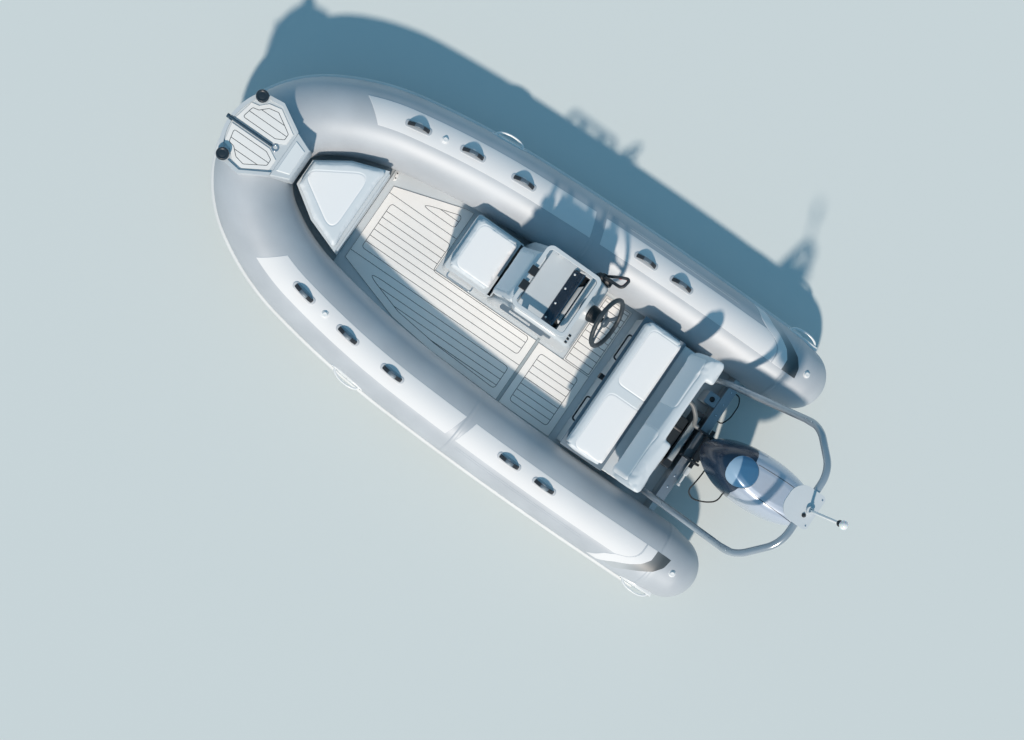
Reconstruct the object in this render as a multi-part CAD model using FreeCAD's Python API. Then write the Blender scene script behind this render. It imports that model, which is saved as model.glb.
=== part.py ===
import FreeCAD, Part
import math
import os

os.makedirs("parts", exist_ok=True)
V = FreeCAD.Vector

# A 4.3 m rigid inflatable boat with an outboard of about 37 kW, afloat. Millimetres.
# +X runs forward, +Y to port and +Z up. The origin is on the waterline, on the
# centreline, at the transom's aft face.

# Fits
SEAT = 0.3          # two pieces that rest on each other
RUN = 0.1           # a shaft in its bore, all round

# Air tubes: one line of arcs for each side, from the stern to the bow
TUBE_D = 500.0
TUBE_R = TUBE_D / 2
# columns: x, y, z of the tube's centre line where one arc meets the next
TUBE_LINE = [
    (-166.0, 787.0, 300.0),
    (300.0, 787.0, 300.0),
    (1900.0, 738.0, 316.0),
    (2815.0, 609.0, 372.0),
    (3297.0, 400.0, 430.0),
    (3477.0, 204.0, 455.0),
]
CONE_L = 155.0      # tapered end behind the straight tube
CONE_TIP_R = 222.0  # radius where the cone turns into its round nose
RAIL_H = 46.0       # rub rail, height and how far it stands proud
RAIL_T = 20.0
PATCH_T = 1.6       # glued wear patches

# Hull: V bottom with a chine flat, straight aft and rising to the stem in arcs
DECK_TOP = 140.0
DECK_T = 20.0
KEEL_Z = -220.0
STEM_FOOT_X = 1900.0    # the keel starts to rise here
STEM_HEAD = (3520.0, 196.0)
CHINE_Y = 600.0
CHINE_Z = -6.0
CHINE_BEND_X = 1300.0   # the chine starts to run in and up here
CHINE_HEAD = (3520.0, 26.0, 232.0)
CHINE_FLAT = 58.0
CHINE_DROP = 6.0
HULL_STATIONS = [0.0, 1300.0, 1700.0, 2150.0, 2500.0, 2820.0, 3040.0, 3240.0, 3400.0, 3520.0]
SADDLE_OUT = 100.0      # the hull's shoulder under the tube, beyond the chine
SADDLE_UP = 78.0
SHEER_RISE_X = 2820.0   # the hull's top edge starts to rise here

# Transom
TRANSOM_T = 45.0
TRANSOM_TOP = 318.0
BEAM_HALF = 470.0
BEAM_T = 12.0

# Deck covering
PAD_T = 6.0
SEAM_X = 1310.0     # cross seam between the forward and the aft covering
SEAM_W = 26.0
DECK_FWD = 2770.0
DECK_MARGIN = 28.0
PAD_FWD = 2720.0

# Helm console, to starboard of the centreline
CON_Y = (-482.0, -8.0)
CON_BASE = (1120.0, 1770.0)
CON_TOP = 948.0
HOOP_Z = 1040.0
HOOP_X = (1282.0, 1690.0)
HOOP_BAR = 26.0
DASH_X = (1345.0, 1452.0)
DASH_DEPTH = 46.0
SCREEN_Y = (-432.0, -58.0)
SCREEN_FOOT_X = 1456.0
SCREEN_TOP_X = 1392.0
SCREEN_TOP = 1046.0
SCREEN_T = 7.0
GRAB_X = (1390.0, 1714.0)   # slotted grab plate on the port side
GRAB_Z = (880.0, 902.0)
GRAB_OUT = 34.0
SWITCH_X = (1336.0, 1441.0)
SWITCH_Z = (800.0, 862.0)
WHEEL_D = 354.0
WHEEL_C = V(1108.0, -272.0, 985.0)
WHEEL_RAKE = 28.0   # the wheel axis above the horizontal, degrees
SEAT_X = (1772.0, 2142.0)
SEAT_Y = (-430.0, -13.0)
SEAT_BOX_TOP = 520.0
SEAT_TOP = 604.0

# Aft bench
BENCH_X = (496.0, 846.0)
BENCH_HALF = 512.0
BENCH_BOX_TOP = 500.0
BENCH_TOP = 600.0
LID_T = 14.0
WALL = 10.0

# Bow
STEP_TOP = TUBE_LINE[-1][2] + TUBE_R + 67
STEP_FLOOR = STEP_TOP - 212
STEP_RIM = 18.0
BOLLARD = (3655.0, 222.0)
BOW_LOCKER_TOP = 520.0
BOW_TOP = 600.0

# Stern arch
ARCH_D = 46.0
# columns: x, y, z of the port leg's line, up to the top bar
ARCH_LINE = [
    (150.0, 452.0, 143.0),
    (131.0, 458.0, 470.0),
    (-309.0, 482.0, 1247.0),
    (-450.0, 262.0, 1432.0),
]
ARCH_PLATE_X = (-518.0, -308.0)
ARCH_PLATE_HALF = 118.0
POLE_L = 500.0
POLE_R = 9.0
POLE_PIN_R = 3.0

# Outboard
TILT_X = -20.0
TILT_Z = 372.0
TILT_BAR_R = 15.0
TILT_BAR_L = 150.0
CLAMP_REACH = 34.0
STEER_X = -150.0
STEM_D = 62.0
COWL_X = (-690.0, 92.0)
COWL_HALF = 190.0
PLATE_Z = -232.0
PROP_Z = -408.0
PROP_D = 290.0
PROP_HUB_D = 92.0


# Shapes used by many pieces

def block(x, y, z):
    return Part.makeBox(x[1] - x[0], y[1] - y[0], z[1] - z[0], V(x[0], y[0], z[0]))


def rod(a, b, radius):
    return Part.makeCylinder(radius, (b - a).Length, a, b - a)


def polygon(points):
    return Part.makePolygon([V(*p) for p in points] + [V(*points[0])])


def prism(points, along):
    return Part.Face(polygon(points)).extrude(along)


def mirrored(shape):
    return shape.mirror(V(0, 0, 0), V(0, 1, 0))


def edges_along(shape, axis):
    """Straight edges of a shape that run along one axis."""
    picked = []
    for edge in shape.Edges:
        if len(edge.Vertexes) == 2:
            run = edge.Vertexes[1].Point - edge.Vertexes[0].Point
            if run.Length > 1 and abs(run.normalize().dot(axis)) > 0.999:
                picked.append(edge)
    return picked


def rounded(shape, radius, axis):
    return shape.makeFillet(radius, edges_along(shape, axis))


def save(node, solids):
    shape = solids[0] if len(solids) == 1 else Part.makeCompound(solids)
    shape.exportStep("parts/" + node + ".step")


def arc_from(start, heading, end):
    """An arc that leaves start along heading and reaches end, and its heading there."""
    chord = end - start
    unit = V(chord).normalize()
    side = heading - unit * heading.dot(unit)
    if side.Length < 1e-6:
        return Part.LineSegment(start, end).toShape(), heading
    half_turn = math.acos(max(-1.0, min(1.0, heading.dot(unit))))
    middle = start + chord * 0.5 + side.normalize() * (chord.Length / 2 * math.tan(half_turn / 2))
    return Part.Arc(start, middle, end).toShape(), unit * (2 * heading.dot(unit)) - heading


def bent(points, share=0.45):
    """A wire of straight runs joined by tangent arcs through a list of points."""
    points = [V(*p) for p in points]
    edges = []
    last = points[0]
    for before, corner, after in zip(points, points[1:], points[2:]):
        into = (corner - before)
        out = (after - corner)
        reach = share * min(into.Length, out.Length)
        start = corner - into.normalize() * reach
        edges.append(Part.LineSegment(last, start).toShape())
        arc, _ = arc_from(start, into, corner + out.normalize() * reach)
        edges.append(arc)
        last = corner + out * reach
    edges.append(Part.LineSegment(last, points[-1]).toShape())
    return Part.Wire(edges)


def pipe(points, radius, share=0.45):
    path = bent(points, share)
    start = path.Edges[0]
    ring = Part.Wire(Part.makeCircle(radius, start.Vertexes[0].Point, start.tangentAt(start.FirstParameter)))
    return path.makePipeShell([ring], True, False)


def symmetric(points):
    """The points of one side and their mirror images, as one line across the boat."""
    return points + [(x, -y, z) for x, y, z in reversed(points) if y > 1]


# Air tubes

def tube_line():
    """Port centre line: straight at the stern, arcs that tighten towards the bow."""
    points = [V(*p) for p in TUBE_LINE]
    edges = []
    heading = V(1, 0, 0)
    for a, b in zip(points, points[1:]):
        edge, heading = arc_from(a, heading, b)
        edges.append(edge)
    closing = (heading + V(0, -1, 0)).normalize()
    bow = points[-1] + closing * (points[-1].y / -closing.y)
    edge, heading = arc_from(points[-1], heading, bow)
    edges.append(edge)
    return Part.Wire(edges)


TUBE_WIRE = tube_line()
STERN = V(*TUBE_LINE[0])


def tube_body(radius):
    """The port tube with its cone end, from the stern to the bow seam."""
    ring = Part.Wire(Part.makeCircle(radius, STERN, V(1, 0, 0)))
    tube = TUBE_WIRE.makePipeShell([ring], True, False)
    grown = radius - TUBE_R
    slope = math.atan2(TUBE_R - CONE_TIP_R, CONE_L)
    nose_r = (CONE_TIP_R + grown) / math.cos(slope)
    start = V(-CONE_L, 0, CONE_TIP_R + grown)
    middle_turn = math.radians(45)
    centre = V(-CONE_L + nose_r * math.sin(slope), 0, 0)
    middle = centre + V(-nose_r * math.cos(middle_turn), 0, nose_r * math.sin(middle_turn))
    tip = centre + V(-nose_r, 0, 0)
    outline = Part.Wire([
        Part.LineSegment(V(0, 0, 0), V(0, 0, radius)).toShape(),
        Part.LineSegment(V(0, 0, radius), start).toShape(),
        Part.Arc(start, middle, tip).toShape(),
        Part.LineSegment(tip, V(0, 0, 0)).toShape(),
    ])
    cone = Part.Face(outline).revolve(V(0, 0, 0), V(1, 0, 0), 360)
    cone.translate(STERN)
    return tube.fuse(cone).removeSplitter()


TUBE = tube_body(TUBE_R)
TUBE_SEAT = tube_body(TUBE_R + SEAT)
TUBE_SEATS = [TUBE_SEAT, mirrored(TUBE_SEAT)]
PATCH_TOP = TUBE_R + SEAT + PATCH_T
PATCH_SEAT = tube_body(PATCH_TOP + SEAT)


def off_tubes(shape):
    """Take the room of both tubes out of a shape that fits against them."""
    for seat in TUBE_SEATS:
        shape = shape.cut(seat)
    return shape


def ring_sector(turn, inner, outer, half_turn):
    """A sector of a ring on the tube's section; turn 0 is outboard, 90 is up."""
    def at(radius, degrees):
        a = math.radians(degrees)
        return STERN + V(0, radius * math.cos(a), radius * math.sin(a))
    lo, hi = turn - half_turn, turn + half_turn
    return Part.Wire([
        Part.Arc(at(inner, lo), at(inner, turn), at(inner, hi)).toShape(),
        Part.LineSegment(at(inner, hi), at(outer, hi)).toShape(),
        Part.Arc(at(outer, hi), at(outer, turn), at(outer, lo)).toShape(),
        Part.LineSegment(at(outer, lo), at(inner, lo)).toShape(),
    ])


def tubes():
    save("tube_port", [TUBE])
    save("tube_starboard", [mirrored(TUBE)])
    half = math.degrees(RAIL_H / 2 / TUBE_R)
    rail = TUBE_WIRE.makePipeShell([ring_sector(0, TUBE_R + SEAT, TUBE_R + RAIL_T, half)], True, False)
    save("rub_rails", [rail, mirrored(rail)])


def on_tube(x):
    """Centre of the port tube where it crosses a station, and its heading there."""
    for edge in TUBE_WIRE.Edges:
        low, high = edge.FirstParameter, edge.LastParameter
        if edge.valueAt(low).x > edge.valueAt(high).x:
            low, high = high, low
        if edge.valueAt(low).x <= x <= edge.valueAt(high).x:
            for _ in range(50):
                middle = (low + high) / 2
                if edge.valueAt(middle).x < x:
                    low = middle
                else:
                    high = middle
            heading = edge.tangentAt(low)
            return edge.valueAt(low), heading if heading.x > 0 else heading * -1
    return V(x, STERN.y, STERN.z), V(1, 0, 0)


# Wear patches: white panels glued over the tubes, and the dark band ahead of each cone
PATCH_HALF = 20.5           # degrees each side of the panel's middle
PATCH_TURN = 80.5
# columns: x of the aft edge outboard and inboard, and of the fore edge outboard and inboard
FRONT_PATCH = (1512.0, 1466.0, 3115.0, 3035.0)
REAR_PATCH = (118.0, -22.0, 1430.0, 1384.0)
STERN_BAND = (-140.0, -160.0, 18.0, -62.0)


def slanted(ends):
    """The room over the port tube between two slanted cuts."""
    outboard, inboard = 960.0, 640.0
    aft_out, aft_in, fore_out, fore_in = ends
    return prism([
        (aft_out, outboard, 0), (aft_in, inboard, 0), (2 * aft_in - aft_out, 2 * inboard - outboard, 0),
        (2 * fore_in - fore_out, 2 * inboard - outboard, 0), (fore_in, inboard, 0), (fore_out, outboard, 0)],
        V(0, 0, 900))


def patches():
    panel = ring_sector(PATCH_TURN, TUBE_R + SEAT, TUBE_R + SEAT + PATCH_T, PATCH_HALF)
    skin = TUBE_WIRE.makePipeShell([panel], True, False)
    white = []
    for ends in (FRONT_PATCH, REAR_PATCH):
        part = skin.common(slanted(ends))
        white += [part, mirrored(part)]
    save("wear_patches", white)
    band = skin.common(slanted(STERN_BAND))
    save("stern_bands", [band, mirrored(band)])


# Handles and valves on the tubes
TOP_HANDLES = [2793.0, 2408.0, 2026.0, 1062.0, 775.0]
TOP_HANDLE_TURN = 84.0
TOP_HANDLE_L = 160.0
TOP_HANDLE_H = 46.0
TOP_HANDLE_W = 26.0
TOP_HANDLE_GRIP = 13.0
FOOT_L = 184.0
FOOT_W = 52.0
FOOT_T = 4.0
# columns: station, and how far the plate reaches in before it is cut to the tube
CARRY_HANDLES = [(2222.0, 9.0), (-168.0, 30.0)]
CARRY_TURN = 15.0
CARRY_L = 262.0
CARRY_W = 72.0
CARRY_T = 6.0
CARRY_GRIP_L = 214.0
CARRY_GRIP_H = 46.0
CARRY_GRIP_W = 18.0
CARRY_GRIP = 13.0
VALVE_R = 24.0
VALVE_H = 9.0
# columns: station and radius of the surface that each valve stands on
VALVES = [(2607.0, PATCH_TOP), (-285.0, 229.0)]


def half_moon(length, height, width, grip):
    """An upright half-moon loop standing on its flat side, at the origin, along X."""
    def bow(span, rise, y):
        arc = Part.Arc(V(-span / 2, y, 0), V(0, y, rise), V(span / 2, y, 0)).toShape()
        return Part.Face(Part.Wire([arc, Part.LineSegment(V(span / 2, y, 0), V(-span / 2, y, 0)).toShape()]))
    outer = bow(length, height, -width / 2).extrude(V(0, width, 0))
    inner = bow(length - 3.2 * grip, height - grip, -width).extrude(V(0, 2 * width, 0))
    hole = inner.common(block((-length, length), (-width, width), (5, height)))
    return outer.cut(hole)


def turned_onto_tube(shape, x, turn, radius):
    """Put a shape made at the origin, standing up, on the tube at a station and turn."""
    centre, heading = on_tube(x)
    along = heading
    side = V(0, 0, 1).cross(along).normalize()
    up = along.cross(side).normalize()
    a = math.radians(turn)
    out = side * math.cos(a) + up * math.sin(a)
    across = out.cross(along)
    base = centre + out * radius
    matrix = FreeCAD.Matrix(
        along.x, across.x, out.x, base.x,
        along.y, across.y, out.y, base.y,
        along.z, across.z, out.z, base.z,
        0, 0, 0, 1)
    return shape.transformed(matrix, True)


def seat_room(x):
    """The room of the port tube at a station: the torus of its arc there, or the whole tube."""
    for edge in TUBE_WIRE.Edges:
        if edge.BoundBox.XMin < x < edge.BoundBox.XMax and abs(edge.BoundBox.YLength) > 1:
            return Part.makeTorus(edge.Curve.Radius, TUBE_R + SEAT, edge.Curve.Center, edge.Curve.Axis)
    return TUBE_SEAT


def handles():
    loop = half_moon(TOP_HANDLE_L, TOP_HANDLE_H, TOP_HANDLE_W, TOP_HANDLE_GRIP)
    foot = block((-FOOT_L / 2, FOOT_L / 2), (-FOOT_W / 2, FOOT_W / 2), (0, FOOT_T))
    loop = loop.fuse(rounded(foot, FOOT_W / 2 - 2, V(0, 0, 1))).removeSplitter()
    loops = [turned_onto_tube(loop, x, TOP_HANDLE_TURN, PATCH_TOP).cut(PATCH_SEAT) for x in TOP_HANDLES]
    save("tube_handles", loops + [mirrored(loop) for loop in loops])
    grip = half_moon(CARRY_GRIP_L, CARRY_GRIP_H, CARRY_GRIP_W, CARRY_GRIP)
    grip.translate(V(0, 0, CARRY_T - 0.1))
    plates = []
    for x, sink in CARRY_HANDLES:
        plate = block((-CARRY_L / 2, CARRY_L / 2), (-CARRY_W / 2, CARRY_W / 2), (-sink, CARRY_T))
        plate = rounded(plate, CARRY_W / 2 - 3, V(0, 0, 1))
        handle = plate.fuse(grip).removeSplitter()
        seated = turned_onto_tube(handle, x, CARRY_TURN, TUBE_R).cut(seat_room(x))
        plates.append(max(seated.Solids, key=lambda s: s.CenterOfMass.y))
    save("carry_handles", plates + [mirrored(plate) for plate in plates])
    cap = Part.makeCylinder(VALVE_R, 2 * VALVE_H, V(0, 0, -VALVE_H))
    cap = cap.fuse(Part.makeCone(VALVE_R - 4, VALVE_R - 8, 6, V(0, 0, VALVE_H - 0.1))).removeSplitter()
    valves = []
    for x, radius in VALVES:
        seat = PATCH_SEAT if radius > TUBE_R else TUBE_SEAT
        valve = turned_onto_tube(cap, x, TOP_HANDLE_TURN, radius).cut(seat)
        valve = max(valve.Solids, key=lambda s: s.CenterOfMass.z)
        valves += [valve, mirrored(valve)]
    save("tube_valves", valves)


# Hull, transom and deck

def rising(x, start, end, low, high, power):
    """From low to high between two stations, flat at the start."""
    share = max(0.0, (x - start) / (end - start))
    return low + (high - low) * share ** power


def hull_section(x):
    keel = rising(x, STEM_FOOT_X, STEM_HEAD[0], KEEL_Z, STEM_HEAD[1], 2.2)
    chine_y = rising(x, CHINE_BEND_X, CHINE_HEAD[0], CHINE_Y, CHINE_HEAD[1], 2.0)
    chine_z = rising(x, CHINE_BEND_X, CHINE_HEAD[0], CHINE_Z, CHINE_HEAD[2], 2.0)
    flat = min(CHINE_FLAT, chine_y * 0.4)
    under_deck = DECK_TOP - DECK_T - SEAT
    top_z = rising(x, SHEER_RISE_X, CHINE_HEAD[0], under_deck, CHINE_HEAD[2] + 22, 1.4)
    half = [
        (x, chine_y - flat, chine_z),
        (x, chine_y, chine_z - CHINE_DROP),
        (x, chine_y + SADDLE_OUT, min(top_z - 4, chine_z + SADDLE_UP)),
        (x, chine_y + SADDLE_OUT * 0.4, top_z),
    ]
    return polygon([(x, 0, keel)] + half + [(px, -py, pz) for px, py, pz in reversed(half)])


def hull():
    body = Part.makeLoft([hull_section(x) for x in HULL_STATIONS], True, True)
    body = off_tubes(body)
    save("hull", [body])
    plate = prism([
        (TRANSOM_T, -600, DECK_TOP - DECK_T + SEAT), (TRANSOM_T, 600, DECK_TOP - DECK_T + SEAT),
        (TRANSOM_T, 600, TRANSOM_TOP), (TRANSOM_T, -600, TRANSOM_TOP)], V(-TRANSOM_T, 0, 0))
    save("transom", [off_tubes(plate)])
    cap = block((-BEAM_T, TRANSOM_T + BEAM_T), (-BEAM_HALF, BEAM_HALF), (TRANSOM_TOP - 60, TRANSOM_TOP + BEAM_T))
    cap = cap.cut(block((-SEAT, TRANSOM_T + SEAT), (-BEAM_HALF - 1, BEAM_HALF + 1), (0, TRANSOM_TOP + SEAT)))
    save("transom_beam", [cap])
    return body


def deck():
    outline = [(TRANSOM_T + SEAT, 640), (1300, 600), (2200, 540), (DECK_FWD, 420)]
    ring = [(x, y, DECK_TOP - DECK_T) for x, y in outline]
    ring += [(x, -y, z) for x, y, z in reversed(ring)]
    save("deck", [off_tubes(prism(ring, V(0, 0, DECK_T)))])


def pad_outline(x0, x1):
    """The deck covering between two stations, inset from the tubes."""
    rows = [(BENCH_X[1], 520.0), (SEAM_X, 514.0), (1900.0, 486.0), (2230.0, 446.0), (PAD_FWD, 290.0)]
    def half_width(x):
        for (xa, ya), (xb, yb) in zip(rows, rows[1:]):
            if xa <= x <= xb:
                return ya + (yb - ya) * (x - xa) / (xb - xa)
    stations = [x0] + [x for x, _ in rows if x0 < x < x1] + [x1]
    port = [(x, half_width(x), DECK_TOP + SEAT) for x in stations]
    return port + [(x, -y, z) for x, y, z in reversed(port)]


def deck_pads():
    console_room = block(
        (CON_BASE[0] - DECK_MARGIN, SEAT_X[1] + DECK_MARGIN),
        (-700, CON_Y[1] + DECK_MARGIN), (DECK_TOP - 10, DECK_TOP + 40))
    forward = prism(pad_outline(SEAM_X + SEAM_W / 2, PAD_FWD), V(0, 0, PAD_T)).cut(console_room)
    aft = prism(pad_outline(BENCH_X[1] + DECK_MARGIN, SEAM_X - SEAM_W / 2), V(0, 0, PAD_T)).cut(console_room)
    save("deck_pad_forward", forward.Solids)
    save("deck_pad_aft", aft.Solids)


# Bow step, its covering and fittings, and the anchor locker

STEP_HALF = [(3668.0, 244.0), (3520.0, 262.0), (3350.0, 162.0)]
STEP_FRONT = 3748.0
LOCKER_X = (3232.0, 3350.0)
NECK_TOP = STEP_TOP - 12
LOCKER_FLOOR = STEP_TOP - 132


def step_plan(z, inset=0.0):
    half = [(x - inset if x > 3600 else x, y - inset) for x, y in STEP_HALF]
    port = [V(x, y, z) for x, y in half]
    starboard = [V(x, -y, z) for x, y in half]
    front = Part.Arc(starboard[0], V(STEP_FRONT - inset, 0, z), port[0]).toShape()
    runs = [front]
    for a, b in zip(port, port[1:]):
        runs.append(Part.LineSegment(a, b).toShape())
    runs.append(Part.LineSegment(port[-1], starboard[-1]).toShape())
    for a, b in zip(reversed(starboard), reversed(starboard[:-1])):
        runs.append(Part.LineSegment(a, b).toShape())
    return Part.Face(Part.Wire(runs))


def bow_step():
    tray = step_plan(STEP_FLOOR).extrude(V(0, 0, STEP_TOP + STEP_RIM - STEP_FLOOR))
    tray = rounded(tray, 14, V(0, 0, 1))
    recess = step_plan(STEP_TOP, 22).extrude(V(0, 0, 60))
    tray = tray.cut(recess)
    for side in (1, -1):
        tray = tray.fuse(rod(V(BOLLARD[0] - 6, side * (BOLLARD[1] - 6), STEP_TOP - 10),
                             V(BOLLARD[0] - 6, side * (BOLLARD[1] - 6), STEP_TOP + STEP_RIM), 40))
    tray = tray.cut(block((STEP_FRONT - 60, STEP_FRONT + 20), (-16, 16), (STEP_TOP, STEP_TOP + 60)))
    neck = prism([
        (LOCKER_X[1], 162, STEP_FLOOR), (LOCKER_X[0], 112, STEP_FLOOR), (LOCKER_X[0], -112, STEP_FLOOR),
        (LOCKER_X[1], -162, STEP_FLOOR)], V(0, 0, NECK_TOP - STEP_FLOOR))
    pocket = block((LOCKER_X[0] + 18, LOCKER_X[1] - 14), (-84, 84), (LOCKER_FLOOR, STEP_TOP + 128))
    moulding = off_tubes(tray.fuse(neck).removeSplitter().cut(pocket))
    moulding = max(moulding.Solids, key=lambda s: s.Volume)
    save("bow_step", [moulding])
    pads = []
    for side in (1, -1):
        half = [(3716, 22), (3688, 150), (3640, 160), (3594, 205), (3515, 222), (3370, 132), (3370, 60), (3440, 22)]
        ring = [(x, side * y, STEP_TOP + SEAT) for x, y in half]
        pads.append(prism(ring, V(0, 0, PAD_T)))
    save("bow_step_pads", pads)
    posts = []
    for side in (1, -1):
        foot = V(BOLLARD[0] - 6, side * (BOLLARD[1] - 6), STEP_TOP + STEP_RIM + SEAT)
        post = Part.makeCylinder(28, 26, foot)
        head = Part.makeCone(46, 40, 20, foot + V(0, 0, 25))
        posts.append(post.fuse(head).removeSplitter())
    save("bow_bollards", posts)
    bar_z = STEP_TOP + 9 + SEAT
    bar = rod(V(3440, 0, bar_z), V(3752, 0, bar_z), 9)
    nose = rod(V(3749, 0, bar_z), V(3766, 0, bar_z), 14)
    save("bow_bar", [bar.fuse(nose).removeSplitter()])
    ring = Part.makeTorus(19, 5, V(3415, 0, STEP_TOP + 5 + SEAT), V(0, 0, 1))
    save("bow_shackle", [ring])


def anchor_lid():
    lid = prism([
        (LOCKER_X[1] - 1, 158, NECK_TOP + SEAT), (LOCKER_X[0] + 1, 109, NECK_TOP + SEAT),
        (LOCKER_X[0] + 1, -109, NECK_TOP + SEAT), (LOCKER_X[1] - 1, -158, NECK_TOP + SEAT)], V(0, 0, 20))
    panel = prism([
        (LOCKER_X[1] - 20, 110, NECK_TOP + 19), (LOCKER_X[0] + 20, 84, NECK_TOP + 19),
        (LOCKER_X[0] + 20, -84, NECK_TOP + 19), (LOCKER_X[1] - 20, -110, NECK_TOP + 19)], V(0, 0, 8))
    save("anchor_lid", [lid.fuse(panel).removeSplitter()])


# Bow locker, with a cushion on its lid

BOW_HALF = [(2772.0, 318.0), (3010.0, 232.0), (3215.0, 92.0)]


def bow_ring(z, inset=0.0):
    port = [(BOW_HALF[0][0] + inset, BOW_HALF[0][1] - inset * 1.1, z),
            (BOW_HALF[1][0], BOW_HALF[1][1] - inset * 1.2, z),
            (BOW_HALF[2][0] - inset, BOW_HALF[2][1] - inset * 0.8, z)]
    return port + [(x, -y, pz) for x, y, pz in reversed(port)]


def bow_locker(hull_shape):
    floor = 150.0
    box = prism(bow_ring(floor), V(0, 0, BOW_LOCKER_TOP - floor))
    room = prism(bow_ring(250, 14), V(0, 0, 400))
    box = off_tubes(box.cut(room)).cut(hull_shape)
    save("bow_locker", [max(box.Solids, key=lambda s: s.Volume)])
    lid = prism(bow_ring(BOW_LOCKER_TOP + SEAT), V(0, 0, LID_T))
    hinge_x, hinge_half = BOW_HALF[0][0] - 7.5, BOW_HALF[0][1] - 18
    hinge_z = BOW_LOCKER_TOP + 8.5
    rail = rod(V(hinge_x, -hinge_half, hinge_z), V(hinge_x, hinge_half, hinge_z), 8)
    save("bow_lid", [off_tubes(lid.fuse(rail)).Solids[0]])
    cushion = prism(bow_ring(BOW_LOCKER_TOP + LID_T + 2 * SEAT), V(0, 0, BOW_TOP - BOW_LOCKER_TOP - LID_T - 2 * SEAT))
    save("bow_cushion", [rounded(cushion, 26, V(0, 0, 1))])


# Console

FRONT_TOP_X = 1640.0
KNEE = (1752.0, 600.0)


def front_face_x(z):
    """The console's raked front face at a height."""
    return FRONT_TOP_X + (KNEE[0] - FRONT_TOP_X) * (CON_TOP - z) / (CON_TOP - KNEE[1])


def console():
    profile = [
        (CON_BASE[0], DECK_TOP + SEAT), (1150, 520), (1196, 830), (1222, 868), (1300, 930), (1330, CON_TOP),
        (FRONT_TOP_X, CON_TOP), KNEE, (CON_BASE[1], DECK_TOP + SEAT)]
    body = prism([(x, CON_Y[0], z) for x, z in profile], V(0, CON_Y[1] - CON_Y[0], 0))
    long_edges = [e for e in body.Edges if abs(e.BoundBox.YLength) < 1 and e.BoundBox.ZMax > 400]
    body = body.makeFillet(30, long_edges)
    dash = block(DASH_X, (SCREEN_Y[0] - 8, SCREEN_Y[1] + 8), (CON_TOP - DASH_DEPTH, CON_TOP + 50))
    save("console_body", [body.cut(dash)])
    y0, y1 = CON_Y[0] + 8, CON_Y[1] - 20
    outer = rounded(block(HOOP_X, (y0, y1), (HOOP_Z - HOOP_BAR, HOOP_Z)), 46, V(0, 0, 1))
    inner = rounded(block(
        (HOOP_X[0] + HOOP_BAR, HOOP_X[1] - HOOP_BAR), (y0 + HOOP_BAR, y1 - HOOP_BAR),
        (HOOP_Z - 2 * HOOP_BAR, HOOP_Z + 10)), 24, V(0, 0, 1))
    hoop = outer.cut(inner)
    for x in (1400, 1560):
        for y in (y0, y1 - HOOP_BAR):
            hoop = hoop.fuse(block((x, x + 40), (y, y + HOOP_BAR), (CON_TOP + SEAT, HOOP_Z - 1)))
    jaws = []
    for y in (-300, -196):
        jaws.append(block((HOOP_X[1] - HOOP_BAR - 12, HOOP_X[1] + 12), (y, y + 60), (HOOP_Z + SEAT, HOOP_Z + 22)))
    save("console_hoop", [hoop.removeSplitter()] + jaws)
    side = CON_Y[1] + SEAT
    grab = rounded(block(GRAB_X, (side, side + GRAB_OUT), GRAB_Z), 12, V(0, 0, 1))
    slot = block((GRAB_X[0] + 100, GRAB_X[1] - 64), (side + 10, side + GRAB_OUT - 10), (GRAB_Z[0] - 5, GRAB_Z[1] + 5))
    switches = rounded(block(SWITCH_X, (side, side + 14), SWITCH_Z), 6, V(0, 1, 0))
    save("console_grab", [grab.cut(rounded(slot, 5, V(0, 0, 1))), switches])
    foot, top = SCREEN_FOOT_X, SCREEN_TOP_X
    screen = prism([
        (foot, SCREEN_Y[0], CON_TOP + SEAT), (foot + SCREEN_T, SCREEN_Y[0], CON_TOP + SEAT),
        (top + SCREEN_T, SCREEN_Y[0], SCREEN_TOP), (top, SCREEN_Y[0], SCREEN_TOP)],
        V(0, SCREEN_Y[1] - SCREEN_Y[0], 0))
    save("windscreen", [screen])
    low, high = 632.0, CON_TOP - 34
    pad = prism([
        (front_face_x(low) + 58, -416, low + 8), (front_face_x(low) + SEAT, -416, low),
        (front_face_x(high) + SEAT, -416, high), (front_face_x(high) + SEAT, -416, high + 70),
        (front_face_x(high) + 44, -416, high + 70)], V(0, 382, 0))
    save("console_backrest", [pad.cut(body)])
    return body


def seat():
    box = block((SEAT_X[0], SEAT_X[1]), SEAT_Y, (DECK_TOP + SEAT, SEAT_BOX_TOP))
    box = rounded(box, 24, V(0, 0, 1))
    room = block(
        (SEAT_X[0] + WALL, SEAT_X[1] - WALL), (SEAT_Y[0] + WALL, SEAT_Y[1] - WALL),
        (DECK_TOP + WALL, SEAT_BOX_TOP + 1))
    aft, fore, side = SEAT_X[0] + 128, SEAT_X[1] - 52, SEAT_Y[1]
    rail = pipe([(aft, side - 1, 400), (aft, side + 35, 400), (fore, side + 35, 400), (fore, side - 1, 400)], 6)
    save("seat_box", [box.fuse(rail).removeSplitter().cut(room)])
    lid = rounded(block((SEAT_X[0] + 30, SEAT_X[1]), SEAT_Y, (SEAT_BOX_TOP + SEAT, SEAT_BOX_TOP + LID_T)), 24, V(0, 0, 1))
    save("seat_lid", [lid])
    cushion = rounded(block((SEAT_X[0] + 30, SEAT_X[1]), SEAT_Y, (SEAT_BOX_TOP + LID_T + SEAT, SEAT_TOP)), 40, V(0, 0, 1))
    save("seat_cushion", [cushion])


def wheel_axis():
    a = math.radians(WHEEL_RAKE)
    return V(-math.cos(a), 0, math.sin(a))


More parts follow.
